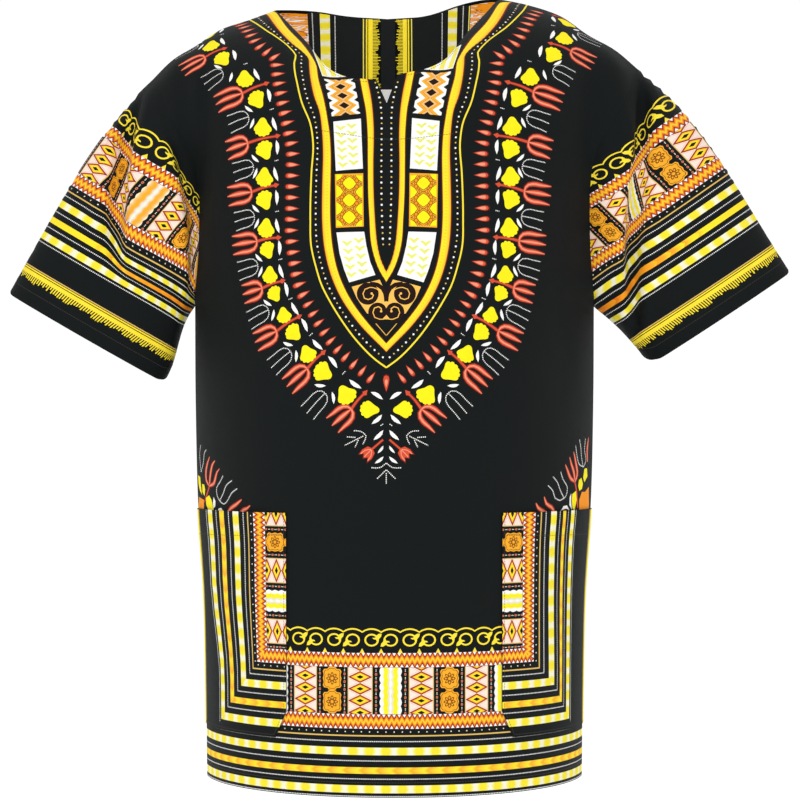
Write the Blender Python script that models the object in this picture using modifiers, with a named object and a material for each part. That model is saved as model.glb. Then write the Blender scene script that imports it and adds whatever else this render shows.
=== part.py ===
# Dashiki shirt, filled out as if worn, hollow, in metres
#
# +Z is up, the front of the shirt faces -Y and +X is the right-hand side as seen from the front.
# The origin lies between the shoulders at the height of the neck corners.
# Every piece is a thin wall: a sheet worked out from the sizes below and thickened inwards.
# The shoulder seams, side seams, sleeve tops and underarms all lie in the plane Y = 0.
# A place on a panel is given as on the flat cloth: s across from the middle, t up from the hem.

import math

import bpy
import numpy as np

# Cloth and seams
CLOTH = 0.0012
LAY_GAP = 0.0003
SEAM_PULL_BACK = 0.0005
SHOULDER_PULL_BACK = 0.0008
SLEEVE_STAND_OFF = 0.0006

# Body: half width of a panel as cut, level of the hem and of the underarms
PANEL_HALF = 0.272
HEM_Z = -0.8187
UNDERARM_Z = -0.318
TURN_POWER = 1.15

# Half width of the filled body at each height, from the hem up: z, half width
BODY_ROWS = (
    (-0.8187, 0.2006),
    (-0.7200, 0.2016),
    (-0.6200, 0.2040),
    (-0.5400, 0.2096),
    (-0.4173, 0.2129),
    (-0.3180, 0.2135),
)

# Neck: its middle is a little left of the body's middle
NECK_MIDDLE = -0.0078
NECK_HALF = 0.119
SLIT_DEPTH = 0.030
SLIT_HALF = 0.0112

# Necklines from the middle (share 0) to the neck corner (share 1): share, depth, z
FRONT_NECK_ROWS = (
    (0.00, 0.088, -0.0858),
    (0.20, 0.087, -0.0850),
    (0.37, 0.083, -0.0817),
    (0.54, 0.071, -0.0690),
    (0.70, 0.050, -0.0427),
    (0.85, 0.026, -0.0215),
    (1.00, 0.000, 0.0000),
)
BACK_NECK_ROWS = (
    (0.00, 0.078, 0.0048),
    (0.39, 0.072, 0.0071),
    (0.65, 0.054, 0.0089),
    (0.85, 0.029, 0.0055),
    (1.00, 0.000, 0.0000),
)

# Shoulder seam from the neck corner to the shoulder point: share, distance out, z
SHOULDER_ROWS = (
    (0.00, 0.0000, 0.0000),
    (0.18, 0.0267, -0.0118),
    (0.41, 0.0610, -0.0246),
    (0.59, 0.0845, -0.0407),
    (0.785, 0.1102, -0.0578),
    (1.00, 0.1342, -0.0835),
)

# The right-hand side sits a little higher: distance from the neck's middle, rise
TILT_ROWS = (
    (-0.0112, 0.0000),
    (0.0112, 0.0050),
    (0.1190, 0.0090),
    (0.2798, 0.0200),
)

# Edge where a sleeve is set in, from the shoulder point (share 0) to the underarm: share, x, depth, z
ARMHOLE_ROWS = (
    (0.00, 0.2610, 0.000, -0.0835),
    (0.08, 0.2545, 0.020, -0.0905),
    (0.22, 0.2400, 0.041, -0.1150),
    (0.46, 0.2110, 0.056, -0.1640),
    (0.74, 0.2070, 0.040, -0.2500),
    (0.92, 0.2120, 0.019, -0.3060),
    (1.00, 0.2135, 0.000, -0.3180),
)

# Sleeves: name, side, cuff's outer corner x and z, cuff's inner corner x and z, half depth of the cuff
SLEEVE_ROWS = (
    ("sleeve_left", -1, 0.4093, -0.2975, 0.2434, -0.3927, 0.040),
    ("sleeve_right", 1, 0.4210, -0.2771, 0.2702, -0.3766, 0.040),
)

# Creases: x and z of both ends, width, how far each goes in (a minus sign makes a ridge)
FRONT_FOLDS = (
    (-0.197, -0.070, -0.203, -0.225, 0.012, 0.0120),
    (-0.222, -0.066, -0.216, -0.175, 0.011, 0.0080),
    (-0.210, -0.160, -0.207, -0.290, 0.013, 0.0080),
    (-0.300, -0.118, -0.312, -0.230, 0.015, -0.0050),
    (-0.282, -0.120, -0.294, -0.235, 0.013, 0.0060),
    (0.205, -0.065, 0.199, -0.290, 0.015, 0.0110),
    (0.232, -0.045, 0.262, -0.190, 0.014, -0.0060),
    (0.262, -0.070, 0.252, -0.300, 0.013, 0.0090),
    (0.178, -0.180, 0.174, -0.420, 0.022, 0.0045),
)
BACK_FOLDS = (
    (-0.200, -0.080, -0.202, -0.260, 0.014, 0.0110),
    (-0.225, -0.075, -0.214, -0.190, 0.012, 0.0070),
    (-0.290, -0.120, -0.305, -0.240, 0.015, 0.0060),
    (0.202, -0.070, 0.200, -0.270, 0.014, 0.0110),
    (0.232, -0.060, 0.250, -0.200, 0.013, 0.0070),
    (0.300, -0.110, 0.305, -0.240, 0.015, 0.0060),
    (-0.060, -0.110, -0.075, -0.300, 0.024, 0.0045),
    (0.070, -0.120, 0.085, -0.310, 0.024, 0.0045),
)

# Patch pockets: distances from the middle and from the hem
POCKET_INNER = 0.1140
POCKET_CORNER_S = 0.1275
POCKET_BOTTOM = 0.0566
POCKET_CORNER_T = 0.0838
POCKET_TOP = 0.2890

# Facing inside the back of the neck, and the label on it, counted in rows of the back panel
FACING_REACH = 0.150
FACING_ROWS = 6
FACING_PULL_BACK = 0.004
LABEL_HALF = 0.0088
LABEL_ROWS = (4.4, 5, 5.8)

# Mesh lines: distances from the middle, heights below the underarms, and rows above them
FRONT_LINES = (0.0, 0.0112, 0.030, 0.052, 0.074, 0.094, POCKET_INNER, POCKET_CORNER_S, 0.143,
               0.160, 0.176, 0.192, 0.207, 0.221, 0.234, 0.247, 0.260)
LOW_HEIGHTS = (0.0, 0.0285, POCKET_BOTTOM, POCKET_CORNER_T, 0.122, 0.164, 0.207, 0.250, POCKET_TOP,
               0.345, 0.400, 0.452)
ROWS_ABOVE = 18
SLEEVE_ROWS_ALONG = 12

BLACK = (0.012, 0.013, 0.014, 1.0)
GOLD = (0.85, 0.42, 0.02, 1.0)
YELLOW = (0.90, 0.70, 0.03, 1.0)
WHITE = (0.85, 0.84, 0.80, 1.0)

for old in list(bpy.data.objects):
    bpy.data.objects.remove(old, do_unlink=True)

shirt = bpy.data.collections.new("dashiki_shirt")
bpy.context.scene.collection.children.link(shirt)


def ease(x):
    """Soft step from 0 to 1."""
    x = np.clip(x, 0.0, 1.0)
    return x * x * (3 - 2 * x)


def hermite(start, start_way, end, end_way, k):
    """Curve between two points that leaves and arrives in given directions."""
    return ((1 + 2 * k) * (1 - k) ** 2 * start + k * (1 - k) ** 2 * start_way
            + k * k * (3 - 2 * k) * end + k * k * (k - 1) * end_way)


def read(rows, x, column):
    """Smooth curve through one column of a table, whose first column rises."""
    xs = np.array([row[0] for row in rows], dtype=float)
    ys = np.array([row[column] for row in rows], dtype=float)
    slopes = np.gradient(ys, xs)
    x = np.clip(np.asarray(x, dtype=float), xs[0], xs[-1])
    i = np.clip(np.searchsorted(xs, x) - 1, 0, len(xs) - 2)
    width = xs[i + 1] - xs[i]
    return hermite(ys[i], width * slopes[i], ys[i + 1], width * slopes[i + 1], (x - xs[i]) / width)


def resampled(points, count):
    """The same line with its points evenly spread along its length."""
    run = np.concatenate(([0.0], np.cumsum(np.linalg.norm(np.diff(points, axis=0), axis=1))))
    even = np.linspace(0.0, run[-1], count)
    return np.stack([np.interp(even, run, points[:, axis]) for axis in range(3)], axis=1)


def body_section(z):
    """Half section of the body at a height: cloth distance s, x and depth, with the seam at depth 0."""
    share = np.linspace(0.0, 1.0, 81)
    width = float(read(BODY_ROWS, z, 1)) / PANEL_HALF
    low, high = 0.2, 2.2
    for _ in range(40):
        turn = 0.5 * (low + high)
        if np.mean(np.cos(turn * (share[1:] - 0.5 / 80) ** TURN_POWER)) > width:
            low = turn
        else:
            high = turn
    angle = turn * share ** TURN_POWER
    step = PANEL_HALF / 80
    x = np.concatenate(([0.0], np.cumsum((np.cos(angle[1:]) + np.cos(angle[:-1])) * step / 2)))
    y = np.concatenate(([0.0], np.cumsum((np.sin(angle[1:]) + np.sin(angle[:-1])) * step / 2)))
    return share * PANEL_HALF, x, y[-1] - y


LOW_LEVELS = np.linspace(HEM_Z, UNDERARM_Z, 41)
SECTIONS = [body_section(z) for z in LOW_LEVELS]


def top_edge(s, front):
    """Point on the neckline or the shoulder seam above the line s of a panel."""
    side = 1.0 if s >= NECK_MIDDLE else -1.0
    outward = -1.0 if front else 1.0
    out = abs(s - NECK_MIDDLE)
    tilt = float(read(TILT_ROWS, s - NECK_MIDDLE, 1))
    if out <= NECK_HALF:
        rows = FRONT_NECK_ROWS if front else BACK_NECK_ROWS
        depth = float(read(rows, out / NECK_HALF, 1))
        return np.array([s, outward * depth, float(read(rows, out / NECK_HALF, 2)) + tilt])
    corner = abs(NECK_MIDDLE + side * NECK_HALF)
    share = (abs(s) - corner) / (PANEL_HALF - corner)
    reach = (ARMHOLE_ROWS[0][1] - corner) / SHOULDER_ROWS[-1][1]
    x = side * (corner + float(read(SHOULDER_ROWS, share, 1)) * reach)
    return np.array([x, 0.0, float(read(SHOULDER_ROWS, share, 2)) + tilt])


def sleeve_seam(side, front, count):
    """The edge where the sleeve is set in, from the underarm up to the shoulder point."""
    share = np.linspace(1.0, 0.0, 121)
    rise = TILT_ROWS[-1][1] if side > 0 else 0.0
    x = side * read(ARMHOLE_ROWS, share, 1)
    y = (-1.0 if front else 1.0) * np.maximum(read(ARMHOLE_ROWS, share, 2), 0.0)
    z = read(ARMHOLE_ROWS, share, 3) + rise * (1 - share) ** 2
    return resampled(np.stack([x, y, z], axis=1), count)


def free_line(s, front, count):
    """A vertical line of a panel from underarm height to its top edge, as if no sleeve pulled on it."""
    outward = -1.0 if front else 1.0
    side = 1.0 if s >= 0 else -1.0
    arc, x, depth = SECTIONS[-1]
    start = np.array([side * np.interp(abs(s), arc, x), outward * np.interp(abs(s), arc, depth), UNDERARM_Z])
    end = top_edge(s, front)
    over = float(ease(abs(s - NECK_MIDDLE) / NECK_HALF))
    lean = (0.30 + 0.75 * over) if front else (0.55 + 0.50 * over)
    end_way = np.array([0.0, -outward * lean, 0.80 - 0.50 * over])
    end_way /= np.linalg.norm(end_way)
    span = float(np.linalg.norm(end - start))
    k = np.linspace(0.0, 1.0, count)[:, None]
    up = np.array([0.0, 0.0, 1.0])
    return hermite(start, span * 1.05 * up, end, span * (0.9 + 0.25 * over) * end_way, k)


def panel_line(s, front):
    """A vertical line of a panel from hem to top edge: heights t on the cloth and points in space."""
    outward = -1.0 if front else 1.0
    side = 1.0 if s >= 0 else -1.0
    count = 121
    upper = free_line(s, front, count)
    pull = max(0.0, (abs(s) / PANEL_HALF - 0.45) / 0.55) ** 2
    if pull > 0:
        upper = upper + pull * (sleeve_seam(side, front, count) - free_line(side * PANEL_HALF, front, count))
    lower = [(side * np.interp(abs(s), arc, x), outward * np.interp(abs(s), arc, depth), z)
             for z, (arc, x, depth) in zip(LOW_LEVELS[:-1], SECTIONS[:-1])]
    points = np.vstack([np.array(lower), upper])
    height = np.concatenate(([0.0], np.cumsum(np.linalg.norm(np.diff(points, axis=0), axis=1))))
    return height, points


def folded(points):
    """Push the creases into the cloth, front and back; they fade out at the seams in the plane Y = 0."""
    points = np.array(points, dtype=float)
    x, z = points[..., 0], points[..., 2]
    fade = ease(np.abs(points[..., 1]) / 0.030)
    for rows, inward in ((FRONT_FOLDS, 1.0), (BACK_FOLDS, -1.0)):
        here = fade * (points[..., 1] * inward < 0)
        push = np.zeros_like(x)
        for x0, z0, x1, z1, width, depth in rows:
            length = math.hypot(x1 - x0, z1 - z0)
            ux, uz = (x1 - x0) / length, (z1 - z0) / length
            along = ((x - x0) * ux + (z - z0) * uz) / length
            across = (x - x0) * uz - (z - z0) * ux
            ends = ease((along + 0.18) / 0.36) * ease((1.18 - along) / 0.36)
            push += depth * ends * np.exp(-(across / width) ** 2)
        points[..., 1] += inward * push * here
    return points


def panel_grid(lines, low_heights, front):
    """Rows of points from the hem up; the rows above the underarms fan out to the top edge."""
    columns = []
    for s in lines:
        height, points = panel_line(s, front)
        level = float(height[len(LOW_LEVELS) - 1])
        top = float(height[-1])
        out = abs(s - NECK_MIDDLE)
        if out > NECK_HALF:
            top -= SHOULDER_PULL_BACK
        elif front:
            top -= SLIT_DEPTH * max(0.0, 1 - out / SLIT_HALF)
        wanted = [t for t in low_heights] + list(np.linspace(level, top, ROWS_ABOVE + 1))
        columns.append([[float(np.interp(t, height, points[:, axis])) for axis in range(3)] for t in wanted])
    return folded(np.array(columns).transpose(1, 0, 2))


def grid_normals(grid, outward):
    """Direction out of the cloth at each point of a grid."""
    across = np.gradient(grid, axis=1)
    along = np.gradient(grid, axis=0)
    normal = np.cross(across, along)
    normal /= np.linalg.norm(normal, axis=2)[..., None]
    middle = normal[grid.shape[0] // 3, grid.shape[1] // 2]
    return normal if middle[1] * outward > 0 else -normal


def make_sheet(name, grid, colour, thickness, flip=False, ring=False, skip=(), corner=()):
    """A sheet from rows of points, thickened inwards; skip leaves cells out, corner halves them."""
    rows, columns = grid.shape[:2]
    faces = []
    for i in range(rows - 1):
        for j in range(columns if ring else columns - 1):
            k = (j + 1) % columns
            quad = [i * columns + j, i * columns + k, (i + 1) * columns + k, (i + 1) * columns + j]
            if (i, j) in skip:
                continue
            if (i, j) in corner:
                quad.pop(corner[(i, j)])
            faces.append(tuple(reversed(quad)) if flip else tuple(quad))
    mesh = bpy.data.meshes.new(name)
    mesh.from_pydata([tuple(p) for p in grid.reshape(-1, 3)], [], faces)
    mesh.update()
    mesh.shade_smooth()
    material = bpy.data.materials.new(name)
    material.use_nodes = True
    shader = material.node_tree.nodes["Principled BSDF"]
    shader.inputs["Base Color"].default_value = colour
    shader.inputs["Roughness"].default_value = 0.8
    shader.inputs["Metallic"].default_value = 0.0
    mesh.materials.append(material)
    piece = bpy.data.objects.new(name, mesh)
    shirt.objects.link(piece)
    wall = piece.modifiers.new("wall", "SOLIDIFY")
    wall.thickness = thickness
    wall.offset = -1.0
    wall.use_even_offset = True
    return piece


# Front and back panels
seam_line = PANEL_HALF - SEAM_PULL_BACK
half_lines = list(FRONT_LINES[1:]) + [seam_line]
slit_lines = [NECK_MIDDLE - SLIT_HALF, NECK_MIDDLE, NECK_MIDDLE + SLIT_HALF]
outer_lines = [s for s in half_lines if s > 0.025]
front_lines = [-s for s in reversed(outer_lines)] + slit_lines + outer_lines
front_grid = panel_grid(front_lines, LOW_HEIGHTS, True)
make_sheet("front", front_grid, BLACK, CLOTH)

back_outer = [s for s in outer_lines if s not in (POCKET_CORNER_S,)]
label_lines = [NECK_MIDDLE - LABEL_HALF, NECK_MIDDLE + LABEL_HALF]
back_lines = [-s for s in reversed(back_outer)] + label_lines + back_outer
back_grid = panel_grid(back_lines, LOW_HEIGHTS[::2], False)
make_sheet("back", back_grid, BLACK, CLOTH, flip=True)


# Sleeves: lines run from the sleeve seam to the cuff, all round; the first and last ring are edges
def sleeve_grid(side, outer_x, outer_z, inner_x, inner_z, cuff_depth):
    along = (np.linspace(0.0, 1.0, SLEEVE_ROWS_ALONG + 1)[:, None])
    lines = []
    cuff_way = np.array([side * (outer_z - inner_z), 0.0, inner_x - outer_x])
    cuff_way /= np.linalg.norm(cuff_way)
    for front in (True, False):
        seam = sleeve_seam(side, front, ROWS_ABOVE + 1)[::-1]
        shares = np.linspace(0.0, 1.0, ROWS_ABOVE + 1)
        numbers = range(0, ROWS_ABOVE) if front else range(ROWS_ABOVE, 0, -1)
        for i in numbers:
            q = shares[i]
            chord = (1 - math.cos(math.pi * q)) / 2
            cuff = np.array([side * (outer_x + (inner_x - outer_x) * chord),
                             (-1.0 if front else 1.0) * cuff_depth * math.sin(math.pi * q),
                             outer_z + (inner_z - outer_z) * chord])
            start = seam[i]
            span = float(np.linalg.norm(cuff - start))
            straight = (cuff - start) / span
            way = np.array([side * 0.74, 0.0, -0.67])
            way = way + float(ease(q * 1.6) * (1 - 0.8 * ease(2 * q - 1))) * (straight - way)
            way /= np.linalg.norm(way)
            line = hermite(start, span * way, cuff, span * cuff_way, along)
            line[0] = line[0] + SEAM_PULL_BACK * way + np.array([side * SLEEVE_STAND_OFF * q, 0.0, 0.0])
            lines.append(line)
    return folded(np.array(lines).transpose(1, 0, 2))


for name, side, *cuff in SLEEVE_ROWS:
    make_sheet(name, sleeve_grid(side, *cuff), BLACK, CLOTH, flip=side > 0, ring=True)

# Pockets: the front's own points, moved out, with the lower inner corner cut off
front_out = grid_normals(front_grid, -1.0)
low, high = LOW_HEIGHTS.index(POCKET_BOTTOM), LOW_HEIGHTS.index(POCKET_TOP)
for name, side in (("pocket_left", -1), ("pocket_right", 1)):
    inner = front_lines.index(side * POCKET_INNER)
    span = slice(0, inner + 1) if side < 0 else slice(inner, len(front_lines))
    patch = front_grid[low:high + 1, span] + (CLOTH + LAY_GAP) * front_out[low:high + 1, span]
    cell = (0, patch.shape[1] - 2) if side < 0 else (0, 0)
    make_sheet(name, patch, GOLD, CLOTH, corner={cell: 1 if side < 0 else 0})

# Facing inside the back of the neck: the back's own points, moved in
back_out = grid_normals(back_grid, 1.0)
chosen = [j for j, s in enumerate(back_lines) if abs(s - NECK_MIDDLE) <= FACING_REACH]
rows = slice(back_grid.shape[0] - 1 - FACING_ROWS, back_grid.shape[0])
inside = back_grid[rows, chosen[0]:chosen[-1] + 1] - (CLOTH + LAY_GAP) * back_out[rows, chosen[0]:chosen[-1] + 1]
for j, line in enumerate(chosen):
    if abs(back_lines[line] - NECK_MIDDLE) > NECK_HALF - 0.03:
        step = inside[-2, j] - inside[-1, j]
        inside[-1, j] += FACING_PULL_BACK * step / np.linalg.norm(step)
make_sheet("back_neck_facing", inside, YELLOW, CLOTH * 0.8, flip=True)

# Label on the facing
middle = [j for j, s in enumerate(back_lines) if abs(s - NECK_MIDDLE) <= LABEL_HALF + 1e-6]
deeper = 2 * LAY_GAP + CLOTH * 1.8
last = back_grid.shape[0] - 1
under = back_grid[:, middle] - deeper * back_out[:, middle]
label_rows = []
for down in reversed(LABEL_ROWS):
    i = int(math.ceil(last - down - 1e-9)) - 1
    k = (last - down) - i
    label_rows.append(under[i] * (1 - k) + under[i + 1] * k)
make_sheet("label", np.array(label_rows), WHITE, CLOTH * 0.7, flip=True)
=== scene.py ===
import math

import bpy
import numpy as np
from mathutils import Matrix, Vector
from mathutils.geometry import delaunay_2d_cdt


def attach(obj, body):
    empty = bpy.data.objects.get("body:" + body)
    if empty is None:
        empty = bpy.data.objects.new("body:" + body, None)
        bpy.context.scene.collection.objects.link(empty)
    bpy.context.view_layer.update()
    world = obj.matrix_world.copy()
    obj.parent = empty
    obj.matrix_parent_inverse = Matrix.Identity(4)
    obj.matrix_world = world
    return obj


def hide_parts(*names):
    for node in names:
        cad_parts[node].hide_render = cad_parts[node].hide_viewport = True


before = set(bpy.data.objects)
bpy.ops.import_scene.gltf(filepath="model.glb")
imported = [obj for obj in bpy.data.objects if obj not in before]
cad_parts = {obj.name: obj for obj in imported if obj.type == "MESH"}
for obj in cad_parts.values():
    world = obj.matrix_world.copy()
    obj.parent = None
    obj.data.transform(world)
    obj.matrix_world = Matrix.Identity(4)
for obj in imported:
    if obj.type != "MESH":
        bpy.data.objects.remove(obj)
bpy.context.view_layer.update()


# Front panel
# One piece of black cotton, 0.54 m wide and 0.88 m long at the neck corners, printed with a yoke
# round the neck, a ring of motifs outside it and a border at the hem. It is seamed to the back at
# the sides and the shoulders, with its neck turned in round a V slit and its hem stitched up.
CLOTH = 0.0010
HEM_Z = -0.8187
UNDERARM_Z = -0.318
PANEL_HALF = 0.272

# The same on the flat cloth in millimetres: panel's edge, side seam, distance between worked-out lines
PANEL_EDGE = 272.0
SEAM_LINE = 271.85
LINE_PITCH = 4.0

# How evenly the body turns towards the side seams, then the neck and the V slit
TURN_POWER = 1.15
NECK_MIDDLE = -0.0078
NECK_HALF = 0.119
SLIT_DEPTH = 0.030
SLIT_HALF = 0.0112
SHOULDER_PULL_BACK = 0.15

# Half width of the filled body at each height, from the hem up: z, half width
BODY_ROWS = (
    (-0.8187, 0.2006),
    (-0.7200, 0.2016),
    (-0.6200, 0.2040),
    (-0.5400, 0.2096),
    (-0.4173, 0.2129),
    (-0.3180, 0.2135),
)

# Necklines from the middle (share 0) to the neck corner (share 1): share, depth, z
FRONT_NECK_ROWS = (
    (0.00, 0.088, -0.0858),
    (0.20, 0.087, -0.0850),
    (0.37, 0.083, -0.0817),
    (0.54, 0.071, -0.0690),
    (0.70, 0.050, -0.0427),
    (0.85, 0.026, -0.0215),
    (1.00, 0.000, 0.0000),
)
BACK_NECK_ROWS = (
    (0.00, 0.078, 0.0026),
    (0.39, 0.072, 0.0050),
    (0.65, 0.054, 0.0070),
    (0.85, 0.029, 0.0045),
    (1.00, 0.000, 0.0000),
)

# Shoulder seam from the neck corner to the shoulder point: share, distance out, z
SHOULDER_ROWS = (
    (0.00, 0.0000, 0.0000),
    (0.18, 0.0267, -0.0098),
    (0.41, 0.0610, -0.0218),
    (0.59, 0.0845, -0.0374),
    (0.785, 0.1102, -0.0530),
    (1.00, 0.1342, -0.0765),
)

# The right-hand side sits a little higher: distance from the neck's middle, rise
TILT_ROWS = (
    (-0.0112, 0.0000),
    (0.0112, 0.0050),
    (0.1190, 0.0120),
    (0.1500, 0.0158),
    (0.1800, 0.0148),
    (0.2200, 0.0115),
    (0.2798, 0.0128),
)

# Edge where a sleeve is set in, from the shoulder point (share 0) to the underarm: share, x, depth, z
ARMHOLE_ROWS = (
    (0.00, 0.2610, 0.000, -0.0765),
    (0.08, 0.2545, 0.020, -0.0855),
    (0.22, 0.2400, 0.041, -0.1150),
    (0.46, 0.2110, 0.056, -0.1640),
    (0.74, 0.2070, 0.040, -0.2500),
    (0.92, 0.2120, 0.019, -0.3060),
    (1.00, 0.2135, 0.000, -0.3180),
)

# Creases: x and z of both ends, width, how far each goes in (a minus sign makes a ridge)
FRONT_FOLDS = (
    (-0.197, -0.070, -0.203, -0.225, 0.012, 0.0120),
    (-0.222, -0.066, -0.216, -0.175, 0.011, 0.0080),
    (-0.210, -0.160, -0.207, -0.290, 0.013, 0.0080),
    (-0.300, -0.118, -0.312, -0.230, 0.015, -0.0050),
    (-0.282, -0.120, -0.294, -0.235, 0.013, 0.0060),
    (0.205, -0.065, 0.199, -0.290, 0.015, 0.0110),
    (0.232, -0.045, 0.262, -0.190, 0.014, -0.0060),
    (0.262, -0.070, 0.252, -0.300, 0.013, 0.0090),
    (0.178, -0.180, 0.174, -0.420, 0.022, 0.0045),
)
BACK_FOLDS = (
    (-0.200, -0.080, -0.202, -0.260, 0.014, 0.0110),
    (-0.225, -0.075, -0.214, -0.190, 0.012, 0.0070),
    (-0.290, -0.120, -0.305, -0.240, 0.015, 0.0060),
    (0.202, -0.070, 0.200, -0.270, 0.014, 0.0110),
    (0.232, -0.060, 0.250, -0.200, 0.013, 0.0070),
    (0.300, -0.110, 0.305, -0.240, 0.015, 0.0060),
    (-0.060, -0.110, -0.075, -0.300, 0.024, 0.0045),
    (0.070, -0.120, 0.085, -0.310, 0.024, 0.0045),
)


def ease(x):
    """Soft step from 0 to 1."""
    x = np.clip(x, 0.0, 1.0)
    return x * x * (3 - 2 * x)


def hermite(start, start_way, end, end_way, k):
    """Curve between two points that leaves and arrives in given directions."""
    return ((1 + 2 * k) * (1 - k) ** 2 * start + k * (1 - k) ** 2 * start_way
            + k * k * (3 - 2 * k) * end + k * k * (k - 1) * end_way)


def read(rows, x, column):
    """Smooth curve through one column of a table, whose first column rises."""
    xs = np.array([row[0] for row in rows], dtype=float)
    ys = np.array([row[column] for row in rows], dtype=float)
    slopes = np.gradient(ys, xs)
    x = np.clip(np.asarray(x, dtype=float), xs[0], xs[-1])
    i = np.clip(np.searchsorted(xs, x) - 1, 0, len(xs) - 2)
    width = xs[i + 1] - xs[i]
    return hermite(ys[i], width * slopes[i], ys[i + 1], width * slopes[i + 1], (x - xs[i]) / width)


def run_of(points):
    """Length along a line up to each of its points."""
    return np.concatenate(([0.0], np.cumsum(np.linalg.norm(np.diff(points, axis=0), axis=1))))


def resampled(points, count):
    """The same line with its points evenly spread along its length."""
    run = run_of(points)
    even = np.linspace(0.0, run[-1], count)
    return np.stack([np.interp(even, run, points[:, axis]) for axis in range(points.shape[1])], axis=1)


def body_section(z):
    """Half section of the body at a height: cloth distance s, x and depth, with the seam at depth 0."""
    share = np.linspace(0.0, 1.0, 81)
    width = float(read(BODY_ROWS, z, 1)) / PANEL_HALF
    low, high = 0.2, 2.2
    for _ in range(40):
        turn = 0.5 * (low + high)
        if np.mean(np.cos(turn * (share[1:] - 0.5 / 80) ** TURN_POWER)) > width:
            low = turn
        else:
            high = turn
    angle = turn * share ** TURN_POWER
    step = PANEL_HALF / 80
    x = np.concatenate(([0.0], np.cumsum((np.cos(angle[1:]) + np.cos(angle[:-1])) * step / 2)))
    y = np.concatenate(([0.0], np.cumsum((np.sin(angle[1:]) + np.sin(angle[:-1])) * step / 2)))
    return share * PANEL_HALF, x, y[-1] - y


LOW_LEVELS = np.linspace(HEM_Z, UNDERARM_Z, 81)
SECTIONS = [body_section(z) for z in LOW_LEVELS]


def top_edge(s, front):
    """Point on the neckline or the shoulder seam above the line s of a panel."""
    side = 1.0 if s >= NECK_MIDDLE else -1.0
    outward = -1.0 if front else 1.0
    out = abs(s - NECK_MIDDLE)
    tilt = float(read(TILT_ROWS, s - NECK_MIDDLE, 1))
    if not front and out <= NECK_HALF:
        tilt = TILT_ROWS[2][1] * float(ease((s - NECK_MIDDLE - 0.03) / 0.089))
    if out <= NECK_HALF:
        rows = FRONT_NECK_ROWS if front else BACK_NECK_ROWS
        depth = float(read(rows, out / NECK_HALF, 1))
        return np.array([s, outward * depth, float(read(rows, out / NECK_HALF, 2)) + tilt])
    corner = abs(NECK_MIDDLE + side * NECK_HALF)
    share = (abs(s) - corner) / (PANEL_HALF - corner)
    reach = (ARMHOLE_ROWS[0][1] - corner) / SHOULDER_ROWS[-1][1]
    x = side * (corner + float(read(SHOULDER_ROWS, share, 1)) * reach)
    return np.array([x, 0.0, float(read(SHOULDER_ROWS, share, 2)) + tilt])


def sleeve_seam(side, front, count):
    """The edge where the sleeve is set in, from the underarm up to the shoulder point."""
    share = np.linspace(1.0, 0.0, 121)
    rise = TILT_ROWS[-1][1] if side > 0 else 0.0
    x = side * read(ARMHOLE_ROWS, share, 1)
    y = (-1.0 if front else 1.0) * np.maximum(read(ARMHOLE_ROWS, share, 2), 0.0)
    z = read(ARMHOLE_ROWS, share, 3) + rise * (1 - share) ** 2
    return resampled(np.stack([x, y, z], axis=1), count)


def free_line(s, front, count):
    """A vertical line of a panel from underarm height to its top edge, as if no sleeve pulled on it."""
    outward = -1.0 if front else 1.0
    side = 1.0 if s >= 0 else -1.0
    arc, x, depth = SECTIONS[-1]
    start = np.array([side * np.interp(abs(s), arc, x), outward * np.interp(abs(s), arc, depth), UNDERARM_Z])
    end = top_edge(s, front)
    over = float(ease(abs(s - NECK_MIDDLE) / NECK_HALF))
    lean = (0.30 + 0.75 * over) if front else (0.55 + 0.50 * over)
    end_way = np.array([0.0, -outward * lean, 0.80 - 0.50 * over])
    end_way /= np.linalg.norm(end_way)
    span = float(np.linalg.norm(end - start))
    k = np.linspace(0.0, 1.0, count)[:, None]
    up = np.array([0.0, 0.0, 1.0])
    return hermite(start, span * 1.05 * up, end, span * (0.9 + 0.25 * over) * end_way, k)


def panel_line(s, front):
    """A vertical line of a panel from hem to top edge: heights t on the cloth and points in space."""
    outward = -1.0 if front else 1.0
    side = 1.0 if s >= 0 else -1.0
    upper = free_line(s, front, 121)
    pull = max(0.0, (abs(s) / PANEL_HALF - 0.45) / 0.55) ** 2
    if pull > 0:
        upper = upper + pull * (sleeve_seam(side, front, 121) - free_line(side * PANEL_HALF, front, 121))
    lower = [(side * np.interp(abs(s), arc, x), outward * np.interp(abs(s), arc, depth), z)
             for z, (arc, x, depth) in zip(LOW_LEVELS[:-1], SECTIONS[:-1])]
    points = np.vstack([np.array(lower), upper])
    return run_of(points), points


def folded(points):
    """Push the creases into the cloth, front and back; they fade out at the seams in the plane Y = 0."""
    points = np.array(points, dtype=float)
    x, z = points[..., 0], points[..., 2]
    fade = ease(np.abs(points[..., 1]) / 0.030)
    for rows, inward in ((FRONT_FOLDS, 1.0), (BACK_FOLDS, -1.0)):
        here = fade * (points[..., 1] * inward < 0)
        push = np.zeros_like(x)
        for x0, z0, x1, z1, width, depth in rows:
            length = math.hypot(x1 - x0, z1 - z0)
            ux, uz = (x1 - x0) / length, (z1 - z0) / length
            along = ((x - x0) * ux + (z - z0) * uz) / length
            across = (x - x0) * uz - (z - z0) * ux
            ends = ease((along + 0.18) / 0.36) * ease((1.18 - along) / 0.36)
            push += depth * ends * np.exp(-(across / width) ** 2)
        points[..., 1] += inward * push * here
    return points


def panel_top(s, front):
    """Height on the flat cloth, in millimetres, where the line s of a panel ends."""
    out = abs(s - NECK_MIDDLE)
    top = 1000 * panel_line(s, front)[0][-1]
    if out > NECK_HALF:
        top -= SHOULDER_PULL_BACK
    elif front:
        top -= 1000 * SLIT_DEPTH * max(0.0, 1 - out / SLIT_HALF)
    return top


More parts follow.
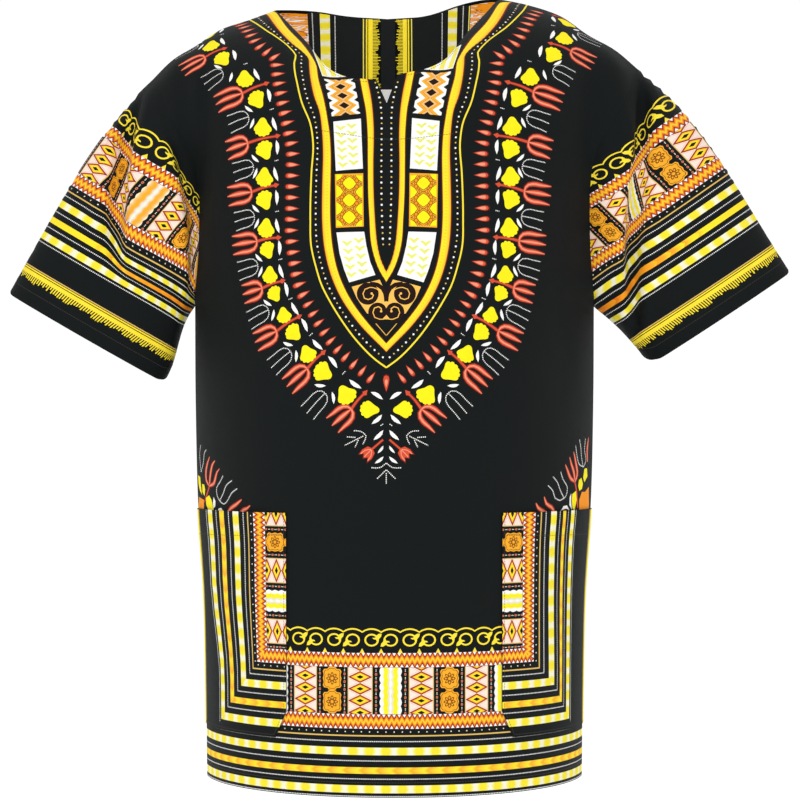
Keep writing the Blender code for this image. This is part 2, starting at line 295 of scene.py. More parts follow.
def ways_out(grid, outward):
    """Direction out of the cloth at each point of a grid."""
    ways = np.cross(np.gradient(grid, axis=0), np.gradient(grid, axis=1))
    return outward * ways / np.linalg.norm(ways, axis=2)[..., None]


def panel_form(front):
    """A panel's shape at every 4 mm of its flat cloth, run on a little past its edges."""
    across = np.linspace(-PANEL_EDGE, PANEL_EDGE, 137)
    up = np.arange(0.0, 940.0, LINE_PITCH)
    columns = []
    for s in across / 1000:
        height, points = panel_line(s, front)
        height = height * 1000
        past = points[-1] + (up[:, None] - height[-1]) * (points[-1] - points[-8]) / (height[-1] - height[-8])
        on = np.stack([np.interp(up, height, points[:, axis]) for axis in range(3)], axis=1)
        columns.append(np.where(up[:, None] <= height[-1], on, past))
    grid = folded(np.array(columns))
    return grid, ways_out(grid, 1.0 if front else -1.0), (-PANEL_EDGE, LINE_PITCH, 0.0, LINE_PITCH)


def read_grid(form, points):
    """Place in space and way out at points of flat cloth, in millimetres."""
    grid, ways, (x0, x_step, y0, y_step) = form
    i = np.clip((points[:, 0] - x0) / x_step, 0, grid.shape[0] - 1.001)
    j = np.clip((points[:, 1] - y0) / y_step, 0, grid.shape[1] - 1.001)
    a, b = i.astype(int), j.astype(int)
    u, v = (i - a)[:, None], (j - b)[:, None]

    def blend(values):
        return ((1 - u) * (1 - v) * values[a, b] + u * (1 - v) * values[a + 1, b]
                + (1 - u) * v * values[a, b + 1] + u * v * values[a + 1, b + 1])

    way = blend(ways)
    return blend(grid), way / np.linalg.norm(way, axis=1)[:, None]


FRONT_FORM = panel_form(True)


def on_front(points):
    """Flat cloth bent onto the front panel."""
    return read_grid(FRONT_FORM, points)


# The print: each motif is a flat shape in millimetres of cloth, a dye, and where it matters its
# own print coordinates. A motif that comes later covers those before it.
def ribbon(motifs, one, other, dye):
    """A band between two lines of equally many points, printed by length along and share across."""
    run = run_of(0.5 * (one + other))
    for i in range(len(one) - 1):
        motifs.append(((one[i], one[i + 1], other[i + 1], other[i]), dye,
                       ((run[i], 0), (run[i + 1], 0), (run[i + 1], 1), (run[i], 1))))


def stroke(motifs, line, width, dye):
    """A band of a given width, or widths, along a line."""
    line = np.array(line, dtype=float)
    way = np.gradient(line, axis=0)
    left = np.stack([-way[:, 1], way[:, 0]], axis=1) / np.linalg.norm(way, axis=1)[:, None]
    half = 0.5 * np.broadcast_to(np.asarray(width, dtype=float), (len(line),))[:, None]
    ribbon(motifs, line - left * half, line + left * half, dye)


def disc(motifs, x, y, radius, dye, corners=6):
    """A round dot."""
    turn = np.arange(corners) * 2 * math.pi / corners
    motifs.append((np.stack([x + radius * np.cos(turn), y + radius * np.sin(turn)], axis=1), dye, None))


def dots(motifs, line, pitch, large, small):
    """Dots along a line, white and gold by turns."""
    run = run_of(line)
    for k, place in enumerate(np.arange(2.0, run[-1] - 1.5, pitch)):
        x, y = (np.interp(place, run, line[:, axis]) for axis in (0, 1))
        disc(motifs, x, y, large if k % 2 else small, "white" if k % 2 else "pale_gold")


def on_side(line, side):
    """A line measured out from the yoke's middle, laid on one side of the cloth."""
    return np.stack([YOKE_MIDDLE + side * line[:, 0], line[:, 1]], axis=1)


def moved(shape, x, y, turn, side=1.0, size=1.0):
    """A shape's points turned, put in place and laid on one side of the cloth."""
    shape = np.array(shape, dtype=float) * size
    cos, sin = math.cos(turn), math.sin(turn)
    px = x + shape[:, 0] * cos - shape[:, 1] * sin
    py = y + shape[:, 0] * sin + shape[:, 1] * cos
    return on_side(np.stack([px, py], axis=1), side)


def smooth_line(points, step):
    """A round line through a table's points, with a point about every step."""
    points = np.array(points, dtype=float)
    run = run_of(points)
    slopes = np.gradient(points, run, axis=0)
    out = []
    for i in range(len(points) - 1):
        span = run[i + 1] - run[i]
        count = max(1, int(round(span / step)))
        for k in np.arange(count) / count:
            out.append(hermite(points[i], span * slopes[i], points[i + 1], span * slopes[i + 1], k))
    out.append(points[-1])
    return np.array(out)


# Yoke lines on the half cloth: distance from the yoke's middle, height above the hem
YOKE_MIDDLE = -8.0
THIN_LINE = ((150, 872), (142.4, 834), (124, 800), (101, 778), (94.5, 768), (95.8, 757), (95, 744), (92.6, 731),
             (87.4, 708), (78, 683.5), (75.3, 664), (77.2, 632), (78.6, 586.5), (77.8, 558), (72.8, 537),
             (66.5, 518), (58, 502), (48.7, 487), (29.2, 460.7), (10.4, 442), (0, 434.5))
BAND_OUTER = ((134, 870), (113.5, 802), (101, 787), (89, 777.5), (82.4, 770), (81.2, 757), (79.5, 738),
              (74.8, 714), (70.3, 702), (66.8, 677), (65.7, 654.5), (66.3, 630), (66.9, 605), (66.9, 586.5),
              (65, 559), (59.2, 533), (47.9, 506.5), (30, 480.6), (0, 449.6))
BAND_INNER = ((118.5, 858), (102, 817), (86.8, 796), (77.5, 777), (72.3, 762), (69.4, 740), (63.3, 714.5),
              (59.5, 690), (57.7, 678.5), (56, 655), (56, 631), (56.4, 607), (56.3, 584.5), (54.2, 558),
              (48.5, 532), (37.3, 507), (18.4, 480.6), (0, 460))
SLIT_BAND_OUTER = ((31, 757), (28.4, 741.5), (25.3, 722), (22.2, 705), (20.3, 682.5), (19.6, 645), (19, 608),
                   (17.7, 584), (16.2, 561), (12.5, 545.4), (6.7, 531), (0, 520.5))
SLIT_BAND_INNER = ((21.5, 757), (18.9, 740.4), (15.8, 723.4), (13.6, 705), (12.4, 683), (12.8, 645), (12.2, 608),
                   (10.4, 578), (8.8, 561), (5.4, 545), (0, 532.5))
SLIT_DOTS = ((12, 738), (7.6, 720), (5.6, 706), (5, 693), (5, 680.5), (4.9, 607), (4.2, 582.5), (2.9, 553))
TOP_PANEL = ((66.5, 746.5), (35.5, 746.5), (38, 792), (78, 792))
LATTICE_PANEL = ((56, 694.3), (27, 699.6), (33.7, 742.5), (64.5, 742.5))
WHITE_PANEL = ((51.6, 635.1), (24, 638.9), (26.3, 694), (54.4, 688.3))
GOLD_PANEL = ((51.6, 576.6), (23, 578.1), (23.7, 634), (52.5, 631.6))
LOW_PANEL = ((51, 571.8), (47.8, 550.5), (43.2, 534.5), (37.9, 521), (11.1, 528.5), (16.3, 541.6),
             (20.3, 558.5), (22.5, 572.8))
SCROLL_GROUND = ((0, 508.9), (6.7, 523.7), (21.2, 520.3), (35.2, 516.5), (30.1, 504.9), (19.5, 489.3), (14.5, 488.7),
                 (3.3, 483.6), (0, 484))
SCROLL_HORN = ((0, 501.5), (1.1, 510.0), (3.9, 515.0), (8.9, 518.4), (16.7, 519.4))
UPPER_SCROLL = ((6.7, 512.2), (10.6, 514.7), (16.7, 515.8), (21.7, 513.9), (23.7, 509.4), (22.3, 504.9), (18.4, 503.5),
                (14.5, 504.9), (13.1, 507.9), (14.8, 509.6))
LOWER_SCROLL = ((0.6, 483.9), (6.7, 483.5), (11.7, 485.4), (13.6, 490.4), (12.0, 494.9), (7.8, 496.3), (5.0, 494.3),
                (5.2, 491.6))

# Ring of forks: where each stem starts, where its prongs part, and the middle of the prongs' ends
FORKS = (
    ((176, 842), (201, 846), (233, 850)),
    ((172, 781), (197, 775), (228, 768)),
    ((126, 731), (155, 720.7), (194, 711.5)),
    ((114, 673), (150.4, 667), (182, 660.5)),
    ((116.4, 622), (147, 616), (183, 613)),
    ((114.3, 568), (141.5, 565), (177.6, 562)),
    ((110, 523.6), (135.6, 516.5), (162.3, 510.6)),
    ((91, 487), (117.6, 472), (145.2, 460.8)),
    ((64.6, 450.3), (82.4, 433.5), (105.6, 415)),
    ((21.3, 409.2), (35.7, 392.4), (56, 375.4)),
)
DROPS = ((161, 850), (152, 826), (142, 797), (134.5, 781), (124.4, 769.5), (115.5, 761), (114.3, 750.7),
         (113.4, 740.6), (108, 708.3), (100.6, 675), (97.4, 655), (98, 633.6), (98.9, 596.3), (99.7, 573.2),
         (97.6, 552), (94.3, 532.9), (90.9, 519.5), (80.8, 499.1), (68.7, 478.9), (55.4, 460.3), (36.4, 441.4),
         (15.4, 424.5))

# Motifs round their own middles: a drop, a leaf, a shell and a chevron
DROP = ((8.2, 0), (4.6, 1.2), (0.5, 2.4), (-3.6, 3.0), (-6.8, 2.3), (-8, 0), (-6.8, -2.3), (-3.6, -3.0), (0.5, -2.4),
        (4.6, -1.2))
LEAF = ((-7.2, 0.5), (-3.5, 2.1), (0, 2.7), (3.5, 2.1), (7.2, -0.6), (3.6, -1.3), (0, -1.2), (-3.6, -0.9))
SHELL = ((9.8, 0.6), (9.2, 2.2), (7.4, 3.6), (4.0, 5.2), (1.2, 7.4), (-0.8, 9.0), (-3.0, 9.6), (-4.9, 8.9),
         (-5.6, 7.5), (-7.3, 7.5), (-8.8, 6.2), (-8.5, 4.3), (-9.9, 3.4), (-10.5, 1.6), (-9.7, 0.1), (-10.3, -1.4),
         (-9.9, -3.2), (-8.3, -3.9), (-8.4, -5.6), (-7.0, -7.0), (-5.4, -6.8), (-4.4, -8.2), (-2.4, -8.6),
         (-0.4, -7.8), (1.6, -6.4), (4.4, -4.6), (7.6, -3.0), (9.4, -1.4))
CHEVRON = ((-6.0, 2.2), (-3.6, 0.4), (0, -3.0), (3.6, 0.4), (6.0, 2.2), (3.2, 3.0), (0, 0.9), (-3.2, 3.0))


def fork(motifs, start, split, ends, side, dotted=False):
    """A three-pronged fork on a stem, from its start to the prongs' ends."""
    start, split, ends = (np.array(p, dtype=float) for p in (start, split, ends))
    turn = math.atan2(*(ends - split)[::-1])
    reach = float(np.linalg.norm(ends - split))
    arm = smooth_line([(0, 0.2), (1.2, 4.2), (4.6, 7.4), (9.5, 8.7), (reach * 0.62, 8.9), (reach * 0.98, 9.6)], 4)
    middle = smooth_line([(0.5, 0), (reach * 0.5, 0.4), (reach, 0)], 5)
    lines = (arm, arm * (1, -1), middle)
    if dotted:
        for line in lines:
            stroke(motifs, moved(line, *split, turn, side), 1.05, "dotted")
        return
    fat = 0.8 + 3.9 * np.sin(np.linspace(0.40, math.pi, len(arm))) ** 0.8
    fat[0] = 2.2
    fat_middle = 0.6 + 4.5 * np.sin(np.linspace(0.10, math.pi, len(middle))) ** 0.9
    stem = on_side(smooth_line([start, (start + split) / 2 + (0.3, 0.9), split], 6), side)
    way = math.atan2(*(split - start)[::-1])
    tip = moved(((-3.4, 0), (1.2, 2.7), (4.2, 0), (1.2, -2.7)), *start, way, side)
    widths = (fat, fat, fat_middle)
    for grow, dye in ((1.7, "red_brown"), (0.0, "coral")):
        stroke(motifs, stem, np.linspace(1.7, 2.6, len(stem)) + grow, dye)
        for line, width in zip(lines, widths):
            stroke(motifs, moved(line, *split, turn, side), width + grow, dye)
        if dye == "coral":
            motifs.append((tip, dye, None))
    for line, width in zip(lines, widths):
        stroke(motifs, moved(line, *split, turn, side), 0.42 * width, "light_coral")


def ring_of_forks(motifs, forks, drops, side):
    """The ring outside the yoke: forks, pairs of shells with white leaves, dotted forks and drops."""
    def add(shape, stretch, x, y, turn, size, dye):
        motifs.append((moved(np.array(shape) * stretch, x, y, turn, side, size), dye, None))

    for start, split, ends in forks:
        fork(motifs, start, split, ends, side)
    for one, other in zip(forks[:-1], forks[1:]):
        starts = np.array([one[0], other[0]], dtype=float)
        ways = np.array([np.subtract(f[1], f[0]) / np.linalg.norm(np.subtract(f[1], f[0])) for f in (one, other)])

        def spot(share, out):
            """A place between two forks, by the share of the way to the next one and the distance out."""
            way = ways[0] * (1 - share) + ways[1] * share
            way /= np.linalg.norm(way)
            return (*(starts[0] * (1 - share) + starts[1] * share + way * out), math.atan2(way[1], way[0]))

        size = min(1.0, float(np.linalg.norm(starts[1] - starts[0])) / 50)
        for share, turn in ((0.245, -1), (0.765, 1)):
            x, y, way = spot(share, 15.5)
            add(SHELL, (1.0, 1.18 * turn), x, y, way + turn * (math.pi / 2 + 0.28), size, "yellow")
            x, y, way = spot(share + 0.01 * turn, 0.8)
            add(LEAF, (1, -turn), x, y, way + math.pi / 2 - 0.18 * turn, 1.08, "white")
            x, y, way = spot(0.5 + 0.15 * turn, 27.0)
            add(LEAF, (1, turn), x, y, way + math.pi / 2 + 0.75 * turn, 0.86, "white")
        x, y, way = spot(0.5, 0.5)
        stroke(motifs, moved(((-2.4, 0), (2.4, 0)), x, y, way, side), 0.9, "dotted")
        start, end = spot(0.5, 29.0)[:2], spot(0.5, 58.0)[:2]
        fork(motifs, start, start, end, side, dotted=True)
    track = smooth_line(drops, 3)
    run = run_of(track)
    for place in np.arange(run[-1], 4, -11.2):
        (x, y), (x0, y0), (x1, y1) = ([np.interp(place + step, run, track[:, axis]) for axis in (0, 1)]
                                      for step in (0, -4, 4))
        turn = math.atan2(y1 - y0, x1 - x0) - math.pi / 2
        size = 0.98 if y > 500 else 0.86
        for grow, dye in ((1.12, "red_brown"), (0.94, "coral"), (0.62, "light_coral")):
            add(DROP, (1, 0.90), x, y, turn, grow * size, dye)


def yoke_panels(motifs, side):
    """The white and lattice panels of half the yoke, with their stripes and chevrons."""
    rise = 7.0 if side > 0 else 0.0

    def lifted(table, moves):
        return [(YOKE_MIDDLE + side * (x + 0.3 * rise), y + rise) if moves(y) else (YOKE_MIDDLE + side * x, y)
                for x, y in table]

    motifs.append((lifted(TOP_PANEL, lambda y: y < 750), "white", None))
    for k in range(3):
        stripe = ((66 - 9 * k, 748), (61 - 9 * k, 748), (72 - 9 * k, 790), (76 - 9 * k, 790))
        motifs.append((lifted(stripe, lambda y: y < 750), "pale_yellow", None))
    low, high = (-0.37, 3.43) if side > 0 else (-0.46, 3.33)
    motifs.append((lifted(LATTICE_PANEL, lambda y: y > 720), "yoke_lattice",
                   ((1, low), (0, low), (0, high), (1, high))))
    for table in (WHITE_PANEL, LOW_PANEL):
        motifs.append((on_side(np.array(table), side), "white", None))
    for low, high, left, right in ((640, 690, 51, 27), (527, 570, 46, 20)):
        rows = int((high - low) / 8.2)
        for row in range(rows + 1):
            for column in (0, 1):
                share = row / rows
                lean = 3.0 * share if low == 640 else 5.5 * (share - 0.6)
                x = (left + (right - left) * (0.27 + 0.46 * column)) + lean
                y = low + 3 + row * 8.0 + (1.5 if column else -1.5)
                if y < high - 3:
                    motifs.append((on_side(np.array(CHEVRON) + (x, y), side), "leaf_yellow", None))


def yoke_gold_panel(motifs, side):
    """The gold panel of half the yoke: four-lobed flowers with small brown and orange dots between them."""
    x0, x1, y0, y1 = 24.6, 51.0, 578.6, 631.4
    pitch = 17.6

    def lobed(x, y, radius, depth, dye, count=24):
        turn = np.arange(count) * 2 * math.pi / count
        wave = radius * (1 + depth * np.cos(4 * turn) + 0.6 * depth * np.cos(8 * turn))
        points = np.stack([x + wave * np.cos(turn), y + wave * np.sin(turn)], axis=1)
        points = np.clip(points, (x0, y0), (x1, y1))
        if np.ptp(points[:, 0]) > 0.5 and np.ptp(points[:, 1]) > 0.5:
            motifs.append((on_side(points, side), dye, None))

    motifs.append((on_side(np.array(GOLD_PANEL), side), "golden", None))
    centres = [(0.5 * (x0 + x1), y0 + pitch * (k + 0.5)) for k in range(3)]
    for x, y in centres + [(x, y0 + pitch * k) for k in range(4) for x in (x0, x1)]:
        for radius, dye in ((8.5, "brown"), (7.8, "golden"), (6.7, "brown"), (6.0, "yellow")):
            lobed(x, y, radius, 0.08, dye)
        for k in range(4):
            turn = math.pi / 4 + k * math.pi / 2
            cx, cy = x + 8.0 * math.cos(turn), y + 8.0 * math.sin(turn)
            if x0 + 1 < cx < x1 - 1 and y0 + 1 < cy < y1 - 1:
                lobed(cx, cy, 2.3, 0.0, "brown", count=10)
                lobed(cx, cy, 1.7, 0.0, "orange", count=10)


def yoke_scrolls(motifs, side):
    """The horned scrolls at the foot of half the yoke."""
    def add(points, dye):
        motifs.append((on_side(np.array(points, dtype=float), side), dye, None))

    add(SCROLL_GROUND, "scroll_gold")
    disc(motifs, YOKE_MIDDLE + side * 18.9, 509.4, 11.2, "ink", 26)
    disc(motifs, YOKE_MIDDLE + side * 8.6, 490.6, 9.8, "ink", 24)
    stroke(motifs, on_side(smooth_line(SCROLL_HORN, 5), side), 4.3, "ink")
    for line in (UPPER_SCROLL, LOWER_SCROLL):
        line = on_side(smooth_line(line, 4), side)
        stroke(motifs, line, np.linspace(0.8, 1.3, len(line)), "scroll_gold")
        disc(motifs, line[-1][0], line[-1][1], 1.25, "scroll_gold", 10)
    add(((-0.4, 502.2), (2.2, 498.2), (-0.4, 494.3)), "scroll_gold")
    add(((-0.3, 488.3), (3.3, 484.3), (-0.3, 483.2)), "scroll_gold")
    stroke(motifs, on_side(np.array(((0.2, 467.1), (10.6, 479.2))), side), 0.7, "scroll_gold")


def yoke_half(motifs, side):
    """One half of the yoke: panels, scrolls, bands with brown edges, dots, and the thin line round it all."""
    def half(table, step):
        return on_side(smooth_line(table, step), side)

    yoke_panels(motifs, side)
    yoke_gold_panel(motifs, side)
    yoke_scrolls(motifs, side)
    for one, other, count in ((BAND_OUTER, BAND_INNER, 90), (SLIT_BAND_INNER, SLIT_BAND_OUTER, 44)):
        ribbon(motifs, resampled(half(one, 3), count), resampled(half(other, 3), count), "yoke_band")
    between = 0.5 * (resampled(half(THIN_LINE, 3), 200) + resampled(half(BAND_OUTER, 3), 200))
    dots(motifs, between, 5.6, 1.0925, 0.855)
    dots(motifs, half(SLIT_DOTS, 3), 5.9, 1.2075, 0.945)
    stroke(motifs, half(THIN_LINE, 5), 1.7, "lemon")


def foot_of_ring(motifs, side):
    """The motif under the yoke's tip: a shell, white leaves, a small fork and dotted sprays."""
    motifs.append((moved(SHELL, 16.5, 392.3, math.pi + 0.1, side, 0.98), "yellow", None))
    for x, y, turn, size in ((9.6, 406, -0.62 + math.pi, 1.0), (9.6, 382, 0.66, 1.0), (8.0, 366, 0.72, 0.98),
                             (5.8, 351.5, 0.85, 0.66), (7.2, 340.8, 0.6, 0.78)):
        motifs.append((moved(LEAF, x, y, math.pi - turn, side, size), "white", None))
    stroke(motifs, moved(((3.0, 377.5), (6.0, 375.5)), 0, 0, 0, side), 0.9, "dotted")
    stem = moved(((3.2, 361.5), (14.8, 351.5)), 0, 0, 0, side)
    head = ((-1, 0), (1.0, 5.2), (7.5, 7.2), (14.0, 6.2), (9.5, 3.2), (13.5, 0), (9.5, -3.2), (14.0, -6.2),
            (7.5, -7.2), (1.0, -5.2))
    for grow, dye in ((1.2, "red_brown"), (0.0, "coral")):
        stroke(motifs, stem, 1.8 + grow, dye)
        motifs.append((moved(head, 14.6, 351.8, -0.80, side, 0.92 + 0.08 * grow), dye, None))
    for line in (((1, 0.5), (6, 4.5), (12.5, 5.4)), ((1, 0), (7, 0.2), (12, 0)), ((1, -0.5), (6, -4.5), (12.5, -5.4))):
        stroke(motifs, moved(smooth_line(line, 4), 14.6, 351.8, -0.80, side, 0.9), 0.9, "light_coral")
    for line in (((33.4, 370.4), (25.8, 369.8), (20.6, 365.2), (23.8, 356.9)), ((23.1, 365.2), (42.5, 355.6)),
                 ((40.5, 364.2), (31.5, 363.7)), ((28.3, 361.3), (31.9, 353.7)),
                 ((15.4, 333), (6, 333.2), (0, 337.8)), ((0, 331), (4, 327), (9.6, 321.6))):
        stroke(motifs, moved(smooth_line(line, 4), 0, 0, 0, side), 1.05, "dotted")


# Stripes of the border, in millimetres above the middle of its lower zigzag: low and high edge, dye, repeat
BORDER_STRIPES = (
    (-15.1, -13.7, "pale_gold", 1.0),
    (-20.6, -19.6, "dotted", 1.0),
    (-33.9, -26.2, "checker", 16.8),
    (-40.2, -39.2, "dotted", 1.0),
    (-52.8, -46.2, "orange_stripe", 16.8),
    (-58.5, -57.5, "dotted", 1.0),
    (-72.2, -64.4, "checker", 16.8),
    (-76.0, -75.0, "dotted", 1.0),
)

# Panels of one repeat between the two zigzags: both edges along the border, kind
BORDER_PANELS = (
    (-11.3, 11.3, "wavy"),
    (12.2, 17.4, "beads"),
    (18.3, 43.7, "lattice"),
    (44.5, 49.5, "beads"),
    (50.0, 70.0, "flower"),
    (70.5, 75.5, "beads"),
    (76.3, 101.7, "lattice"),
    (102.6, 107.8, "beads"),
)
PANEL_REPEAT = 120
PANEL_LOW, PANEL_HIGH = 7.6, 54.6
FLOWER_CARD = ((-10, -7), (-8.6, -9.2), (-5, -9.4), (-3.6, -11.2), (0, -11.6), (3.6, -11.2), (5, -9.4), (8.6, -9.2),
               (10, -7), (9.0, -3.5), (10, 0), (9.0, 3.5), (10, 7), (8.6, 9.2), (5, 9.4), (3.6, 11.2), (0, 11.6),
               (-3.6, 11.2), (-5, 9.4), (-8.6, 9.2), (-10, 7), (-9.0, 3.5), (-10, 0), (-9.0, -3.5))
RING_PITCH = 19.3
RING_DART = ((0.6, 2.2), (3.6, 2.4), (4.6, 4.6), (7.4, 6.4), (10.2, 6.6), (9.6, 3.6), (7.0, 0.6), (5.4, -1.4),
             (4.4, 0.6), (2.2, 0.8))


def flower_card(shape, cx, cy):
    """A gold card with an eight-petalled flower on it."""
    for wide, tall, dye in ((0.98, 1.02, "golden"), (0.86, 0.91, "brown"), (0.80, 0.86, "golden")):
        shape([(cx + wide * x, cy + tall * y) for x, y in FLOWER_CARD], dye)
    for petal in range(8):
        cos, sin = math.cos(petal * math.pi / 4), math.sin(petal * math.pi / 4)
        for size, dye in ((1.0, "brown"), (0.50, "golden")):
            ring = [(3.9 + size * 2.6 * math.cos(t), size * 1.6 * math.sin(t)) for t in np.arange(6) * math.pi / 3]
            shape([(cx + x * cos - y * sin, cy + x * sin + y * cos) for x, y in ring], dye)


def border_panel(shape, a, b, kind, wavy):
    """One panel between the zigzags, from a to b along the border."""
    if kind == "flower":
        for foot in (7.9, 31.4):
            flower_card(shape, 0.5 * (a + b), foot + 11.5)
    elif kind == "wavy":
        ys = np.linspace(PANEL_LOW, PANEL_HIGH, 25)
        bulge = 1.3 * np.abs(np.sin(np.linspace(0, 6 * math.pi, 25)))
        edge = [(b - 1.3 + w, y) for y, w in zip(ys, bulge)]
        edge += [(a + 1.3 - w, y) for y, w in zip(ys[::-1], bulge[::-1])]
        shape(edge, wavy, [((u - a) / (b - a), y / 8) for u, y in edge])
    else:
        first, count = 0.38, 3.93 if kind == "lattice" else 6.0
        shape(((a, PANEL_LOW), (b, PANEL_LOW), (b, PANEL_HIGH), (a, PANEL_HIGH)), kind,
              ((0, first), (1, first), (1, first + count), (0, first + count)))


def ring_chain(motifs, shape, place, ends, phase):
    """A wavy line over a row of rings, each with a dart, and small points between them."""
    u0, u1 = ends(83)
    first, last = math.ceil((u0 - phase) / RING_PITCH), math.floor((u1 - phase) / RING_PITCH)
    wave = np.arange(phase + (first - 0.5) * RING_PITCH, phase + (last + 0.5) * RING_PITCH, RING_PITCH / 8)
    crest = [(u, 90.2 + 3.2 * abs(math.sin(math.pi * (u - phase) / RING_PITCH + math.pi / 2)) ** 0.8) for u in wave]
    one, other = (np.array([place(u, y + up) for u, y in crest]) for up in (-0.8, 0.8))
    ribbon(motifs, one, other, "lemon")
    for k in range(first, last + 1):
        cx, cy, flip = phase + k * RING_PITCH, 82.2, (1 if k % 2 else -1)
        for across, tall, dye in ((7.4, 6.5, "lemon"), (5.6, 4.8, "ground")):
            shape([(cx + across * math.cos(t), cy + tall * math.sin(t)) for t in np.arange(16) * math.pi / 8], dye)
        shape([(cx + flip * x, cy + flip * y) for x, y in RING_DART], "lemon")
        tip = cx + RING_PITCH / 2
        shape(((tip - 2.5, 69.2), (tip + 2.5, 69.2), (tip, 73.8)), "lemon")


def border(motifs, place, ends, phase, panels, low=-76.0, rings=True, comb=False, steps=1, wavy="wavy"):
    """The border print: place turns distance along and up into cloth, ends says where each height starts
    and stops, phase is a wavy panel's middle, and panels is the stretch that has panels."""
    def band(y0, y1, dye, pitch=1.0):
        lows, highs = np.linspace(*ends(y0), steps + 1), np.linspace(*ends(y1), steps + 1)
        for a0, a1, b0, b1 in zip(lows[:-1], lows[1:], highs[:-1], highs[1:]):
            corners = [place(u, y) for u, y in ((a0, y0), (a1, y0), (b1, y1), (b0, y1))]
            marks = ((a0 / pitch, 0), (a1 / pitch, 0), (b1 / pitch, 1), (b0 / pitch, 1))
            motifs.append((corners, dye, marks))

    def shape(points, dye, marks=None):
        motifs.append(([place(u, y) for u, y in points], dye, marks))

    for y0, y1, dye, pitch in BORDER_STRIPES:
        if y0 >= low:
            band(y0, y1, "flame_stripe" if comb and dye == "orange_stripe" else dye, pitch)
    if comb:
        band(-104.1, -102.9, "pale_gold")
        band(-119.5, -104.9, "comb", 2.9)
    u0, u1 = ends(-10.4)
    for u in np.arange(math.ceil(u0 / 8.3) * 8.3, u1, 8.3):
        x, y = place(u, -10.4)
        disc(motifs, x, y, 0.75, "off_white", 5)
    band(-7.2, 7.2, "zigzag", 5.2)
    if panels:
        band(54.9, 69.1, "zigzag", 5.2)
        start, stop = panels
        for k in range(math.floor((start - phase) / PANEL_REPEAT) - 1, math.ceil((stop - phase) / PANEL_REPEAT) + 1):
            for a, b, kind in BORDER_PANELS:
                a, b = phase + PANEL_REPEAT * k + a, phase + PANEL_REPEAT * k + b
                if b >= start and a <= stop:
                    border_panel(shape, a, b, kind, wavy)
    if rings:
        ring_chain(motifs, shape, place, ends, phase)


# Dyes: every colour of the print is the same cotton with its own pattern, and they share one weave.
def srgb(red, green, blue):
    """A colour as seen on a screen, turned into light."""
    screen = (red / 255, green / 255, blue / 255)
    return tuple(c / 12.92 if c <= 0.04045 else ((c + 0.055) / 1.055) ** 2.4 for c in screen) + (1.0,)


INK = {
    "ground": srgb(6, 12, 12), "ink": srgb(30, 10, 5), "charcoal": srgb(27, 29, 30),
    "thread": srgb(70, 64, 58), "white": srgb(248, 247, 243), "off_white": srgb(244, 240, 210),
    "grey": srgb(226, 226, 218), "pink": srgb(250, 228, 214), "yellow": srgb(253, 236, 20),
    "lemon": srgb(252, 226, 58), "pale_yellow": srgb(244, 232, 100), "leaf_yellow": srgb(232, 234, 120),
    "check": srgb(246, 228, 52), "pale_check": srgb(244, 236, 140), "band": srgb(249, 206, 48),
    "band_yellow": srgb(253, 227, 44), "golden": srgb(247, 172, 40), "pale_gold": srgb(222, 184, 100),
    "scroll_gold": srgb(249, 192, 88), "tan": srgb(246, 190, 116), "olive": srgb(150, 140, 24),
    "brown": srgb(120, 62, 12), "orange": srgb(247, 150, 22), "flame": srgb(236, 122, 26),
    "coral": srgb(214, 78, 50), "light_coral": srgb(242, 150, 118), "bead": srgb(210, 122, 94),
    "brick": srgb(156, 38, 16), "red_brown": srgb(104, 22, 12),
}


def calc(tree, operation, *values):
    """One sum in a material."""
    node = tree.nodes.new("ShaderNodeMath")
    node.operation = operation
    for socket, value in zip(node.inputs, values):
        if isinstance(value, (int, float)):
            socket.default_value = value
        else:
            tree.links.new(value, socket)
    return node.outputs[0]


def ramp(tree, factor, stops, soft=False):
    """Colours along a factor: hard steps, or soft ones."""
    node = tree.nodes.new("ShaderNodeValToRGB")
    node.color_ramp.interpolation = "LINEAR" if soft else "CONSTANT"
    elements = node.color_ramp.elements
    while len(elements) < len(stops):
        elements.new(0.5)
    for element, (place, name) in zip(elements, stops):
        element.position = place
        element.color = INK[name] if isinstance(name, str) else name
    tree.links.new(factor, node.inputs[0])
    return node.outputs[0]


def mixed(tree, factor, one, other):
    """Two colours mixed by a factor."""
    node = tree.nodes.new("ShaderNodeMix")
    node.data_type = "RGBA"
    for socket, value in ((node.inputs[0], factor), (node.inputs[6], one), (node.inputs[7], other)):
        if isinstance(value, (int, float, tuple)):
            socket.default_value = value
        else:
            tree.links.new(value, socket)
    return node.outputs[2]


